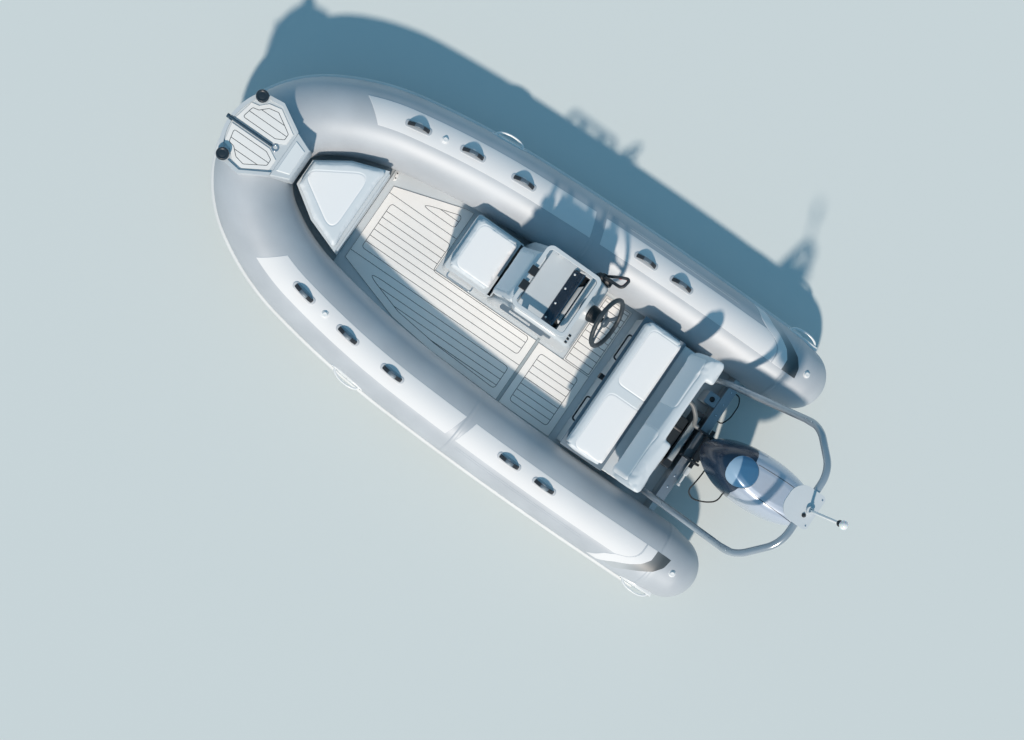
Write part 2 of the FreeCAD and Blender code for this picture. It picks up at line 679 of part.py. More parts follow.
def helm(console_body):
    axis = wheel_axis()
    shaft = rod(WHEEL_C - axis * 190, WHEEL_C - axis * (24 + SEAT), 16)
    dome = Part.makeCone(70, 44, 120, WHEEL_C - axis * 180, axis)
    base = shaft.fuse(dome).removeSplitter().cut(console_body)
    save("helm", [max(base.Solids, key=lambda s: s.Volume)])
    rim = Part.makeTorus(WHEEL_D / 2 - 14, 14, V(0, 0, 0), V(0, 0, 1))
    centre = Part.makeCylinder(38, 26, V(0, 0, -24))
    wheel = rim.fuse(centre)
    for k in range(3):
        spoke = block((30, WHEEL_D / 2 - 14), (-15, 15), (-12, -3))
        spoke.rotate(V(0, 0, 0), V(0, 0, 1), 90 + 120 * k)
        wheel = wheel.fuse(spoke)
    wheel = wheel.removeSplitter()
    wheel.rotate(V(0, 0, 0), V(0, 1, 0), -(90 - WHEEL_RAKE))
    wheel.translate(WHEEL_C)
    save("steering_wheel", [wheel])
    box = rounded(block((1200, 1310), (CON_Y[0] - 46, CON_Y[0] - SEAT), (700, 880)), 18, V(0, 1, 0))
    lever = pipe([(1262, CON_Y[0] - 30, 866), (1230, CON_Y[0] - 52, 960), (1150, CON_Y[0] - 74, 1010)], 9)
    grip = rod(V(1146, CON_Y[0] - 100, 1010), V(1146, CON_Y[0] - 14, 1000), 17)
    save("throttle", [box.fuse(lever).fuse(grip).removeSplitter()])


# Aft bench and its backrest

BACKREST = [(492, 628), (376, 612), (290, 872), (300, 902), (352, 906), (404, 890)]


def bench():
    box = block((280, BENCH_X[1] - 24), (-BENCH_HALF + 12, BENCH_HALF - 12), (DECK_TOP + SEAT, BENCH_BOX_TOP))
    room = block((BENCH_X[0] + 30, BENCH_X[1] - 24 - WALL), (-BENCH_HALF + 24, BENCH_HALF - 24),
                 (DECK_TOP + WALL, BENCH_BOX_TOP + 1))
    save("bench_box", [off_tubes(box.cut(room)).Solids[0]])
    lid = block((BENCH_X[0] + 14, BENCH_X[1]), (-BENCH_HALF, BENCH_HALF), (BENCH_BOX_TOP + SEAT, BENCH_BOX_TOP + LID_T))
    save("bench_lid", [off_tubes(lid).Solids[0]])
    pad = block((BENCH_X[0] + 30, BENCH_X[1]), (-BENCH_HALF, BENCH_HALF), (BENCH_BOX_TOP + LID_T + SEAT, BENCH_TOP))
    save("bench_cushion", [off_tubes(rounded(pad, 40, V(0, 0, 1))).Solids[0]])
    back = prism([(x, -BENCH_HALF, z) for x, z in BACKREST], V(0, 2 * BENCH_HALF, 0))
    notch = block((260, 356), (-350, 120), (560, 960))
    back = back.cut(notch)
    frame = block((376, 436), (-430, 430), (BENCH_BOX_TOP + SEAT, 700)).cut(
        prism([(x, -BENCH_HALF - 5, z) for x, z in BACKREST], V(0, 2 * BENCH_HALF + 10, 0)))
    frame = max(frame.Solids, key=lambda s: s.Volume)
    save("backrest_frame", [frame])
    save("backrest_cushion", [back.Solids[0]])


BENCH_RAILS = [(-355.0, -165.0), (145.0, 330.0)]


def bench_fittings():
    face = BENCH_X[1] - 24 + SEAT
    rails = []
    for low, high in BENCH_RAILS:
        rails.append(pipe([(face, low, 430), (face + 34, low, 430), (face + 34, high, 430), (face, high, 430)], 6))
    latch = rounded(block((face, face + 46), (-34, 4), (396, 452)), 8, V(1, 0, 0))
    save("bench_fittings", rails + [latch])


# Stern arch with the light pole

def arch():
    hoop = pipe(symmetric(ARCH_LINE), ARCH_D / 2, 0.3)
    feet = []
    for side in (1, -1):
        x, y, z = ARCH_LINE[0]
        feet.append(Part.makeCylinder(48, 8, V(x, side * y, DECK_TOP + SEAT)))
    whole = hoop.fuse(feet).removeSplitter()
    save("arch", [off_tubes(whole).Solids[0]])
    top = ARCH_LINE[-1]
    plate_z = top[2] + ARCH_D / 2 + SEAT
    plate = block(ARCH_PLATE_X, (-ARCH_PLATE_HALF, ARCH_PLATE_HALF), (plate_z, plate_z + 10))
    for radius, near in ((26, ARCH_PLATE_X[0]), (96, ARCH_PLATE_X[1])):
        corners = [e for e in edges_along(plate, V(0, 0, 1)) if abs(e.Vertexes[0].X - near) < 1]
        plate = plate.makeFillet(radius, corners)
    x = top[0] - 20
    base = Part.makeCylinder(26, 22, V(x, 0, plate_z + 9.9))
    pivot = V(x, 0, plate_z + 32 + POLE_R + 4)
    ears = []
    for side in (1, -1):
        inner = side * (POLE_R + 1)
        ears.append(block((x - POLE_R, x + POLE_R), sorted((inner, inner + side * 6)), (plate_z + 30, pivot.z + 8)))
    pin = rod(V(x, -POLE_R - 9, pivot.z), V(x, POLE_R + 9, pivot.z), POLE_PIN_R)
    save("arch_plate", [plate.fuse([base, pin] + ears).removeSplitter()])
    pole = rod(pivot, pivot + V(0, 0, POLE_L), POLE_R)
    knuckle = Part.makeSphere(POLE_R, pivot)
    collar = rod(pivot + V(0, 0, POLE_L - 60), pivot + V(0, 0, POLE_L - 24), 20)
    lens = Part.makeSphere(25, pivot + V(0, 0, POLE_L))
    bore = rod(pivot - V(0, 40, 0), pivot + V(0, 40, 0), POLE_PIN_R + RUN)
    save("light_pole", [pole.fuse([knuckle, collar, lens]).removeSplitter().cut(bore)])


# Outboard engine

def clamp():
    cheeks = []
    for side in (1, -1):
        outline = [(-14, 60), (-BEAM_T - SEAT, 60), (-BEAM_T - SEAT, TRANSOM_TOP + BEAM_T + SEAT),
                   (TRANSOM_T + BEAM_T + SEAT, TRANSOM_TOP + BEAM_T + SEAT), (TRANSOM_T + BEAM_T + SEAT, 230),
                   (TRANSOM_T + CLAMP_REACH, 230), (TRANSOM_T + CLAMP_REACH, 372), (0, 400), (-60, 396), (-60, 90)]
        cheek = prism([(x, side * 96, z) for x, z in outline], V(0, side * 16, 0))
        cheeks.append(cheek)
    bar = rod(V(TILT_X, -TILT_BAR_L, TILT_Z), V(TILT_X, TILT_BAR_L, TILT_Z), TILT_BAR_R)
    whole = bar
    for cheek in cheeks:
        whole = whole.fuse(cheek)
    save("engine_clamp", [whole.removeSplitter()])
    start = TILT_BAR_L + SEAT
    barrel = rod(V(TILT_X, start, TILT_Z), V(TILT_X, start + 60, TILT_Z), 17)
    ram = rod(V(TILT_X, start + 59, TILT_Z), V(TILT_X, start + 140, TILT_Z), 8)
    nut = rod(V(TILT_X, start + 130, TILT_Z), V(TILT_X, start + 146, TILT_Z), 13)
    save("steering_ram", [barrel.fuse(ram).fuse(nut).removeSplitter()])


def swivel():
    hub = rod(V(TILT_X, -90, TILT_Z), V(TILT_X, 90, TILT_Z), 30)
    post = rod(V(STEER_X, 0, 120), V(STEER_X, 0, 410), STEM_D / 2 + 16)
    arm = block((STEER_X, TILT_X), (-70, 70), (TILT_Z - 26, TILT_Z + 26))
    web = prism([(STEER_X, -14, 140), (STEER_X, -14, 360), (TILT_X - 10, -14, 350)], V(0, 28, 0))
    body = hub.fuse(post).fuse(arm).fuse(web)
    body = body.cut(rod(V(STEER_X, 0, 100), V(STEER_X, 0, 460), STEM_D / 2 + RUN))
    body = body.cut(rod(V(TILT_X, -TILT_BAR_L, TILT_Z), V(TILT_X, TILT_BAR_L, TILT_Z), TILT_BAR_R + RUN))
    save("engine_swivel", [body.removeSplitter()])


def leg():
    stem = rod(V(STEER_X, 0, 70), V(STEER_X, 0, 470), STEM_D / 2)
    upper = block((-330, STEER_X + 46), (-60, 60), (430, 520))
    lower = block((-260, STEER_X + 34), (-44, 44), (56, 104))
    trunk = Part.makeLoft([
        polygon([(-230, 0, 520), (-300, 62, 520), (-430, 56, 520), (-500, 0, 520), (-430, -56, 520), (-300, -62, 520)]),
        polygon([(-220, 0, 0), (-270, 42, 0), (-390, 36, 0), (-470, 0, 0), (-390, -36, 0), (-270, -42, 0)]),
        polygon([(-200, 0, PLATE_Z), (-250, 30, PLATE_Z), (-370, 26, PLATE_Z), (-450, 0, PLATE_Z),
                 (-370, -26, PLATE_Z), (-250, -30, PLATE_Z)]),
    ], True, True)
    plate = rounded(block((-560, -190), (-104, 104), (PLATE_Z - 8, PLATE_Z)), 60, V(0, 0, 1))
    save("engine_leg", [stem.fuse(upper).fuse(lower).fuse(trunk).removeSplitter()])
    strut = Part.makeLoft([
        polygon([(-200, 0, PLATE_Z - 7), (-250, 30, PLATE_Z - 7), (-370, 26, PLATE_Z - 7), (-450, 0, PLATE_Z - 7),
                 (-370, -26, PLATE_Z - 7), (-250, -30, PLATE_Z - 7)]),
        polygon([(-190, 0, PROP_Z), (-240, 22, PROP_Z), (-360, 20, PROP_Z), (-430, 0, PROP_Z),
                 (-360, -20, PROP_Z), (-240, -22, PROP_Z)]),
    ], True, True)
    body = rod(V(-230, 0, PROP_Z), V(-440, 0, PROP_Z), 52)
    nose = Part.makeSphere(52, V(-230, 0, PROP_Z))
    skeg = prism([(-240, -6, PROP_Z), (-300, -6, -572), (-400, -6, -580), (-430, -6, PROP_Z)], V(0, 12, 0))
    gear = plate.fuse(strut).fuse(body).fuse(nose).fuse(skeg)
    gear.translate(V(0, 0, -SEAT))
    save("engine_gearcase", [gear.removeSplitter()])


def propeller():
    hub_x = -440 - SEAT
    hub = Part.makeCone(PROP_HUB_D / 2, PROP_HUB_D / 2 - 8, 100, V(hub_x, 0, PROP_Z - SEAT), V(-1, 0, 0))
    whole = hub
    for k in range(3):
        rows = [(38.0, 60.0, 62.0, 9.0), (92.0, 96.0, 42.0, 7.0), (PROP_D / 2, 48.0, 28.0, 3.0)]
        wires = []
        for radius, chord, pitch, thick in rows:
            a = math.radians(pitch)
            lead = V(math.sin(a), math.cos(a), 0) * (chord / 2)
            normal = V(math.cos(a), -math.sin(a), 0) * (thick / 2)
            at = V(0, 0, radius)
            wires.append(Part.Wire([
                Part.Arc(at - lead, at + normal, at + lead).toShape(),
                Part.Arc(at + lead, at - normal, at - lead).toShape()]))
        blade = Part.makeLoft(wires, True, False)
        blade.rotate(V(0, 0, 0), V(1, 0, 0), 120 * k)
        blade.translate(V(hub_x - 50, 0, PROP_Z - SEAT))
        whole = whole.fuse(blade)
    save("propeller", [whole.removeSplitter()])


# columns: share of the length from the front, and share of the half width
COWL_PLAN = [(0.0, 0.0), (0.012, 0.19), (0.045, 0.38), (0.10, 0.57), (0.17, 0.73), (0.26, 0.87), (0.38, 0.965),
             (0.52, 1.0), (0.66, 0.975), (0.80, 0.87), (0.91, 0.68), (0.975, 0.42), (1.0, 0.0)]
# columns: height, how far the front and the back draw in, and share of the half width
COWL_LEVELS = [(700.0, 6.0, 4.0, 0.965), (720.0, 0.0, 0.0, 1.0), (860.0, 6.0, 4.0, 0.985), (980.0, 24.0, 18.0, 0.91),
               (1060.0, 58.0, 46.0, 0.76), (1100.0, 108.0, 92.0, 0.56), (1112.0, 170.0, 160.0, 0.34)]
PAN_LEVELS = [(520.0, 150.0, 110.0, 0.52), (600.0, 60.0, 40.0, 0.78), (660.0, 24.0, 16.0, 0.90),
              (700.0, 10.0, 8.0, 0.95)]


def cowl_ring(level, lift):
    z, front, back, share = level
    fore, aft = COWL_X[1] - front, COWL_X[0] + back
    port = [(fore - (fore - aft) * along, COWL_HALF * share * wide, z + lift) for along, wide in COWL_PLAN]
    return polygon(port + [(x, -y, pz) for x, y, pz in reversed(port[1:-1])])


def cowl():
    rings = [cowl_ring(level, SEAT) for level in PAN_LEVELS[:-1]] + [cowl_ring(PAN_LEVELS[-1], -SEAT)]
    pan = Part.makeLoft(rings, True, True)
    save("engine_pan", [pan])
    save("engine_cowl", [Part.makeLoft([cowl_ring(level, 0) for level in COWL_LEVELS], True, True)])
    return pan


# Hoses, each one route of smooth bends
FUEL_HOSE = [(-48, 60, 620), (-44, 190, 616), (-36, 292, 588), (-96, 322, 570), (-180, 292, 580), (-238, 244, 604),
             (-238, 120, 622)]
FUEL_HOSE_D = 10.0
CABLE = [(-12.3, -455, 300), (-52, -453, 300), (-74, -400, 330), (-74, -290, 330), (-52, -228, 300), (-12.3, -226, 300)]
CABLE_D = 9.0
RIGGING_HOSE = [(279.7, -215, 430), (222, -215, 430), (150, -160, 404), (116, -112, 345), (79.4, -112, 345)]
RIGGING_HOSE_D = 32.0


def hoses(pan):
    fuel = pipe(FUEL_HOSE, FUEL_HOSE_D / 2).cut(pan)
    save("fuel_hose", [max(fuel.Solids, key=lambda s: s.Volume)])
    save("stern_cable", [pipe(CABLE, CABLE_D / 2)])
    save("rigging_hose", [pipe(RIGGING_HOSE, RIGGING_HOSE_D / 2)])


# Fittings

EYE_R = 9.0
EYE_T = 12.0
STERN_EYE = (430.0, 10.0)
WELL_STEP_W = 58.0
WELL_STEP_Y = (-215.0, 235.0)
WELL_STEP_TOP = 296.0
FILLER_W = 92.0
FILLER_Y = (-372.0, -284.0)
FILLER_TOP = 322.0
BOW_EYE = (3452.0, 92.0)


def fittings(hull_shape):
    well = TRANSOM_T + CLAMP_REACH + SEAT
    step = rounded(block((well, well + WELL_STEP_W), WELL_STEP_Y, (DECK_TOP + SEAT, WELL_STEP_TOP)), 8, V(0, 0, 1))
    grip = block((well + 8, well + WELL_STEP_W - 8), (-175, 180), (WELL_STEP_TOP + SEAT, WELL_STEP_TOP + PAD_T))
    save("well_step", [step, grip])
    battery = rounded(block((well + WELL_STEP_W + 8, 270), (-120, 200), (DECK_TOP + SEAT, 290)), 14, V(0, 0, 1))
    save("battery_box", [battery])
    start = TRANSOM_T + BEAM_T + SEAT
    filler = rounded(block((start, start + FILLER_W), FILLER_Y, (DECK_TOP + SEAT, FILLER_TOP)), 10, V(0, 0, 1))
    mouth = Part.makeCylinder(20, 30, V(start + FILLER_W / 2, sum(FILLER_Y) / 2, FILLER_TOP - 22))
    save("fuel_filler", [filler.cut(mouth)])
    eyes = []
    for side in (1, -1):
        y, z = side * STERN_EYE[0], STERN_EYE[1]
        plate = rounded(block((-8, -SEAT), (y - 24, y + 24), (z - 44, z + 44)), 12, V(1, 0, 0))
        lug = rod(V(-32, y - EYE_T / 2, z), V(-32, y + EYE_T / 2, z), 22)
        neck = block((-32, -7), (y - EYE_T / 2, y + EYE_T / 2), (z - 22, z + 22))
        hole = rod(V(-32, y - 20, z), V(-32, y + 20, z), EYE_R)
        eyes.append(plate.fuse([lug, neck]).cut(hole).removeSplitter())
    save("stern_eyes", eyes)
    x, z = BOW_EYE
    lug = rod(V(x, -EYE_T / 2, z), V(x, EYE_T / 2, z), 24)
    neck = block((x - 130, x), (-EYE_T / 2, EYE_T / 2), (z - 24, z + 24))
    hole = rod(V(x, -20, z), V(x, 20, z), EYE_R)
    eye = lug.fuse(neck).removeSplitter().cut(hole).cut(hull_shape)
    save("bow_eye", [max(eye.Solids, key=lambda s: s.CenterOfMass.x)])


def main():
    tubes()
    patches()
    handles()
    hull_shape = hull()
    deck()
    deck_pads()
    bow_step()
    anchor_lid()
    bow_locker(hull_shape)
    console_body = console()
    seat()
    helm(console_body)
    bench()
    bench_fittings()
    arch()
    clamp()
    swivel()
    leg()
    propeller()
    hoses(cowl())
    fittings(hull_shape)


main()
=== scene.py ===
import math

import bmesh
import bpy
from mathutils import Matrix, Vector
from mathutils.geometry import tessellate_polygon


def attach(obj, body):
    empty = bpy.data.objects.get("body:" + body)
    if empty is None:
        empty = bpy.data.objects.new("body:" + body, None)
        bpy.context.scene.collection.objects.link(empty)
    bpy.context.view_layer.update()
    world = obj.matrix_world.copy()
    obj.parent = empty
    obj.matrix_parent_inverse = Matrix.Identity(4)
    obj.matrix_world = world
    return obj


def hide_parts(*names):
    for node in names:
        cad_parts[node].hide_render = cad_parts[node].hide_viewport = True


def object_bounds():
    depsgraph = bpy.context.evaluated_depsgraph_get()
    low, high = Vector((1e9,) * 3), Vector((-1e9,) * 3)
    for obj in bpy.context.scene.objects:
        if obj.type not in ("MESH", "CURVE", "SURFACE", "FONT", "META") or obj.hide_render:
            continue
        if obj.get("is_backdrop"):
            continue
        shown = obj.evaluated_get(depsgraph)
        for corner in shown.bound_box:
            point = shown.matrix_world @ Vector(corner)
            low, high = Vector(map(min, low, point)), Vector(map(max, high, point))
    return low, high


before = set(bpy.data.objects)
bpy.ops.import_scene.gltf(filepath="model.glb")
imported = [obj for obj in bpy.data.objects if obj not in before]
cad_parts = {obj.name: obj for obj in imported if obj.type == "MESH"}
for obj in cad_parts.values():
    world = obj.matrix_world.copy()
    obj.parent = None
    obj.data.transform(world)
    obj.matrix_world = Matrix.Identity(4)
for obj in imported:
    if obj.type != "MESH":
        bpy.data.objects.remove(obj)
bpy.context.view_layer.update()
scene = bpy.context.scene
UP = Vector((0, 0, 1))


# Camera. It hangs 8.4 m above the water, almost straight over the boat and turned so that
# the bow points to the upper left of the picture.
camera_data = bpy.data.cameras.new("camera")
camera_data.sensor_width = 36.0
camera_data.lens = 42.19
camera = bpy.data.objects.new("camera", camera_data)
camera.location = (2.227, 0.515, 8.385)
camera.rotation_euler = [math.radians(turn) for turn in (-2.141, -5.950, -145.405)]
scene.collection.objects.link(camera)
scene.camera = camera


# Light. A warm sun stands to port, about half way up the sky, as the shadows in the
# photograph tell, and a clear blue sky fills the shade.
SKY_STRENGTH = 0.42
SUN_STRENGTH = 3.22
SUN_SPREAD = math.radians(3)

scene.view_settings.view_transform = "Standard"
world = bpy.data.worlds.new("sky")
world.use_nodes = True
sky = world.node_tree.nodes["Background"]
sky.inputs["Color"].default_value = (0.30, 0.66, 0.96, 1)
sky.inputs["Strength"].default_value = SKY_STRENGTH
scene.world = world
sun_data = bpy.data.lights.new("sun", "SUN")
sun_data.energy = SUN_STRENGTH
sun_data.angle = SUN_SPREAD
sun_data.color = (1.0, 0.87, 0.75)
sun = bpy.data.objects.new("sun", sun_data)
sun.rotation_euler = Vector((-0.36, 1.10, 1.14)).to_track_quat("Z", "Y").to_euler()
scene.collection.objects.link(sun)


# Floor. A wide pale sheet at the waterline, where the boat floats.
FLOOR_HALF = 40.0


def srgb(red, green, blue):
    """A colour as it looks on screen, made linear, with full alpha."""
    linear = [c / 12.92 if c <= 0.04045 else ((c + 0.055) / 1.055) ** 2.4 for c in (red, green, blue)]
    return (*linear, 1.0)


def feed(socket, source):
    """Set a node's input, to a value or to the output of another node."""
    if isinstance(source, bpy.types.NodeSocket):
        socket.id_data.links.new(source, socket)
    else:
        socket.default_value = source


def adder(tree):
    """A way to add nodes to a tree. It gives the node's first output in use, or the one named."""
    def add(kind, feeds=None, give=None, **settings):
        node = tree.nodes.new(kind)
        for setting, value in settings.items():
            setattr(node, setting, value)
        for name, source in (feeds or {}).items():
            feed(node.inputs[name], source)
        return node.outputs[give] if give else next((o for o in node.outputs if o.enabled), node)
    return add


def shader_of(material):
    """The inputs of a material's shader, and a way to add nodes to its tree."""
    material.use_nodes = True
    return material.node_tree.nodes["Principled BSDF"].inputs, adder(material.node_tree)


def mesh_piece(name, points, faces, material, smooth=True):
    """A new object at the origin from points and faces, in metres, with one material."""
    mesh = bpy.data.meshes.new(name)
    mesh.from_pydata([tuple(p) for p in points], [], faces)
    mesh.materials.append(material)
    mesh.polygons.foreach_set("use_smooth", [smooth] * len(mesh.polygons))
    mesh.update()
    made = bpy.data.objects.new(name, mesh)
    scene.collection.objects.link(made)
    return made


floor_paint = bpy.data.materials.new("pale_floor")
sockets, _ = shader_of(floor_paint)
floor_look = {"Base Color": srgb(0.84, 0.87, 0.87), "Roughness": 0.9, "Specular IOR Level": 0.1}
for socket, value in floor_look.items():
    feed(sockets[socket], value)
corners = [(-FLOOR_HALF, -FLOOR_HALF, 0), (FLOOR_HALF, -FLOOR_HALF, 0),
           (FLOOR_HALF, FLOOR_HALF, 0), (-FLOOR_HALF, FLOOR_HALF, 0)]
mesh_piece("floor", corners, [(0, 1, 2, 3)], floor_paint, smooth=False)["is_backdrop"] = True


# Air tubes. Coated fabric glued over a former and blown up hard, in a fine matt silver grey.
# Each follows one line of arcs from its cone at the stern to the seam on the stem.
TUBE_R = 0.250
CONE_LENGTH = 0.155
CONE_TIP_R = 0.222
# columns: x, y, z of the port centre line where one arc meets the next
TUBE_LINE = [
    (-0.166, 0.787, 0.300),
    (0.300, 0.787, 0.300),
    (1.900, 0.738, 0.316),
    (2.815, 0.609, 0.372),
    (3.297, 0.400, 0.430),
    (3.477, 0.204, 0.455),
]
STEPS_PER_ARC = 40
RING_STEPS = 96
NOSE_RINGS = 18
CONE_RINGS = 6


def arc_points(start, heading, end):
    """Points and headings of the arc that leaves start along heading, and its heading at the end."""
    chord = end - start
    half_turn = heading.angle(chord)
    steps = STEPS_PER_ARC
    if half_turn < 1e-5:
        return [(start + chord * k / steps, heading.copy()) for k in range(steps)], heading.copy()
    axis = heading.cross(chord).normalized()
    made = []
    for k in range(steps):
        turn = half_turn * k / steps
        reach = chord.length * math.sin(turn) / math.sin(half_turn)
        made.append((start + Matrix.Rotation(turn, 3, axis) @ heading * reach,
                     Matrix.Rotation(2 * turn, 3, axis) @ heading))
    return made, Matrix.Rotation(2 * half_turn, 3, axis) @ heading


def tube_line():
    """Points and headings of the port tube's centre line, stern to stem."""
    corners = [Vector(p) for p in TUBE_LINE]
    heading = Vector((1, 0, 0))
    line = []
    for start, end in zip(corners, corners[1:]):
        part, heading = arc_points(start, heading, end)
        line += part
    closing = (heading + Vector((0, -1, 0))).normalized()
    stem = corners[-1] + closing * (corners[-1].y / -closing.y)
    part, heading = arc_points(corners[-1], heading, stem)
    return line + part + [(stem, Vector((0, -1, 0)))]


LINE = tube_line()
STERN = LINE[0][0]


def at_station(x):
    """Centre and heading of the port tube at a distance forward of the transom."""
    if x <= STERN.x:
        return Vector((x, STERN.y, STERN.z)), Vector((1, 0, 0))
    for (a, heading_a), (b, heading_b) in zip(LINE, LINE[1:]):
        if a.x <= x <= b.x:
            share = (x - a.x) / max(b.x - a.x, 1e-9)
            return a.lerp(b, share), heading_a.lerp(heading_b, share).normalized()
    return LINE[-1]


def outward(heading, turn):
    """The way off the tube's line: turn 0 is outboard and 90 is on top, in degrees."""
    side = UP.cross(heading).normalized()
    a = math.radians(turn)
    return side * math.cos(a) + heading.cross(side) * math.sin(a)


def skin_radius(x):
    """Radius of the tube's skin at a station, also on the cone behind the straight part."""
    return TUBE_R - (TUBE_R - CONE_TIP_R) * min(max(STERN.x - x, 0.0), CONE_LENGTH) / CONE_LENGTH


def on_tube(x, turn, lift=0.0):
    """A point on the tube's skin at a station."""
    centre, heading = at_station(x)
    return centre + outward(heading, turn) * (skin_radius(x) + lift)


def grid_faces(rows, columns, closed=False, start=0):
    """Quads over rows of points; closed joins each row's last point to its first."""
    faces = []
    for r in range(rows - 1):
        a = start + r * columns
        for c in range(columns if closed else columns - 1):
            n = (c + 1) % columns
            faces.append((a + c, a + n, a + columns + n, a + columns + c))
    return faces


def recalculated(piece):
    """Merge doubles and turn every face outwards."""
    mesh = bmesh.new()
    mesh.from_mesh(piece.data)
    bmesh.ops.remove_doubles(mesh, verts=mesh.verts, dist=1e-6)
    bmesh.ops.recalc_face_normals(mesh, faces=mesh.faces)
    mesh.to_mesh(piece.data)
    mesh.free()
    piece.data.update()
    return piece


def placed(piece, slot, body="root", node=None):
    """Put a piece on the body it rides on and hide the solid of the node it stands for; slot is not used."""
    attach(piece, body)
    if node:
        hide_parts(node)
    return piece


def tube_rows():
    """Centre, heading and radius of each ring from the round nose forward, and the nose's tip."""
    slope = math.atan2(TUBE_R - CONE_TIP_R, CONE_LENGTH)
    nose_r = CONE_TIP_R / math.cos(slope)
    nose_x = STERN.x - CONE_LENGTH + nose_r * math.sin(slope)
    rings = []
    for k in range(1, NOSE_RINGS + 1):
        a = (math.pi / 2 - slope) * k / NOSE_RINGS
        rings.append((nose_x - nose_r * math.cos(a), nose_r * math.sin(a)))
    for k in range(1, CONE_RINGS):
        share = k / CONE_RINGS
        rings.append((STERN.x - CONE_LENGTH * (1 - share), CONE_TIP_R + (TUBE_R - CONE_TIP_R) * share))
    rows = [(Vector((x, STERN.y, STERN.z)), Vector((1, 0, 0)), radius) for x, radius in rings]
    rows += [(centre, heading, TUBE_R) for centre, heading in LINE]
    return rows, Vector((nose_x - nose_r, STERN.y, STERN.z))


def fabric(name, colour, roughness, tone=0.035, thread=2600.0, relief=0.00012, **constants):
    """Coated or woven cloth: soft patches of tone, a fine even weave and a little dust."""
    material = bpy.data.materials.new(name)
    sockets, add = shader_of(material)
    place = add("ShaderNodeTexCoord", give="Object")
    patches = add("ShaderNodeTexNoise", {"Vector": place, "Scale": 3.0, "Detail": 5.0})
    weave = add("ShaderNodeTexNoise", {"Vector": place, "Scale": thread / 6, "Detail": 2.0})
    tones = add("ShaderNodeValToRGB", {"Fac": patches})
    for end, position, shift in zip(tones.node.color_ramp.elements, (0.30, 0.72), (-tone, tone * 0.6)):
        end.position = position
        end.color = srgb(*[min(1, max(0, c + shift)) for c in colour])
    made = {
        "Base Color": tones,
        "Roughness": add("ShaderNodeMapRange", {"Value": patches, "To Min": roughness - 0.06,
                                                "To Max": roughness + 0.08}),
        "Normal": add("ShaderNodeBump", {"Height": weave, "Strength": 0.5, "Distance": relief}),
    }
    for socket, source in {**made, **constants}.items():
        feed(sockets[socket], source)
    return material


def overlaid(material, factor, colour, **settings):
    """Lay a colour over a material's own, as far as the factor says."""
    sockets, add = shader_of(material)
    own = sockets["Base Color"].links[0].from_socket
    mixed = add("ShaderNodeMix", {"Factor": factor, "A": own, "B": colour}, data_type="RGBA", **settings)
    feed(sockets["Base Color"], mixed)


tube_cloth = fabric("tube_cloth", (0.745, 0.77, 0.795), 0.50, Metallic=0.12)

rows, tip = tube_rows()
rings = [[centre + outward(heading, 360 * k / RING_STEPS) * radius for k in range(RING_STEPS)]
         for centre, heading, radius in rows]
faces = grid_faces(len(rings), RING_STEPS, closed=True)
last = (len(rings) - 1) * RING_STEPS
count = len(rings) * RING_STEPS
for k in range(RING_STEPS):
    following = (k + 1) % RING_STEPS
    faces += [(following, k, count), (last + k, last + following, count + 1)]
for side, word in ((1, "port"), (-1, "starboard")):
    points = [(p.x, p.y * side, p.z) for p in sum(rings, []) + [tip, LINE[-1][0]]]
    tube = recalculated(mesh_piece("air_tube_" + word, points, faces, tube_cloth))
    placed(tube, "tube_grey", node="tube_" + word)


# Wear strips. Long white panels of the same cloth, glued along the top of each tube where
# people sit and step. Their ends are cut on a slant, and curved at the stern.
STRIP_LIFT = 0.0019
STRIP_IN = 101.0
STRIP_OUT = 60.0
PANEL_EDGE = 0.0016
PANEL_SUNK = 0.0006


def runs(pairs):
    """A value that goes in straight runs between (key, value) pairs."""
    def at(key):
        for (ka, va), (kb, vb) in zip(pairs, pairs[1:]):
            if key <= kb:
                return va + (vb - va) * max(0.0, (key - ka) / (kb - ka))
        return pairs[-1][1]
    return at


def skin_panel(points, faces, start, end, turns, lift, steps):
    """A thin panel on the tube between two lines that give x for each turn; its edges dive in."""
    first = len(points)
    for k, turn in enumerate(turns):
        length = end(turn) - start(turn)
        for s in range(-1, steps + 2):
            x = start(turn) + length * min(max(s, 0), steps) / steps
            x += math.copysign(PANEL_EDGE, length) * ((s > steps) - (s < 0))
            hidden = k in (0, len(turns) - 1) or not 0 <= s <= steps
            points.append(on_tube(x, turn, -PANEL_SUNK if hidden else lift))
    faces += grid_faces(len(turns), steps + 3, start=first)


def spread(low, high, count, skirt=0.35):
    """Turns across a panel, with one more just outside each edge for its thickness."""
    inner = [low + (high - low) * k / (count - 1) for k in range(count)]
    return [low - skirt] + inner + [high + skirt]


def mirrored(vectors):
    """Places or directions on the port side, with their mirror images after them."""
    return list(vectors) + [Vector((v[0], -v[1], v[2])) for v in vectors]


def both_sides(name, points, faces, material):
    """One piece from a port panel and its mirror image."""
    twin = [tuple(len(points) + v for v in face) for face in faces]
    made = mesh_piece(name, mirrored(points), [face[::-1] for face in faces] + twin, material)
    made.data.set_sharp_from_angle(angle=math.radians(40))
    return made


strip_cloth = fabric("strip_cloth", (0.905, 0.912, 0.92), 0.62, tone=0.012)
# columns: turn and x of the strip's curved aft end, from outboard to inboard
STRIP_TAIL = [(60.0, 0.118), (66.0, 0.052), (72.0, 0.016), (78.0, -0.006), (86.0, -0.020), (101.0, -0.022)]
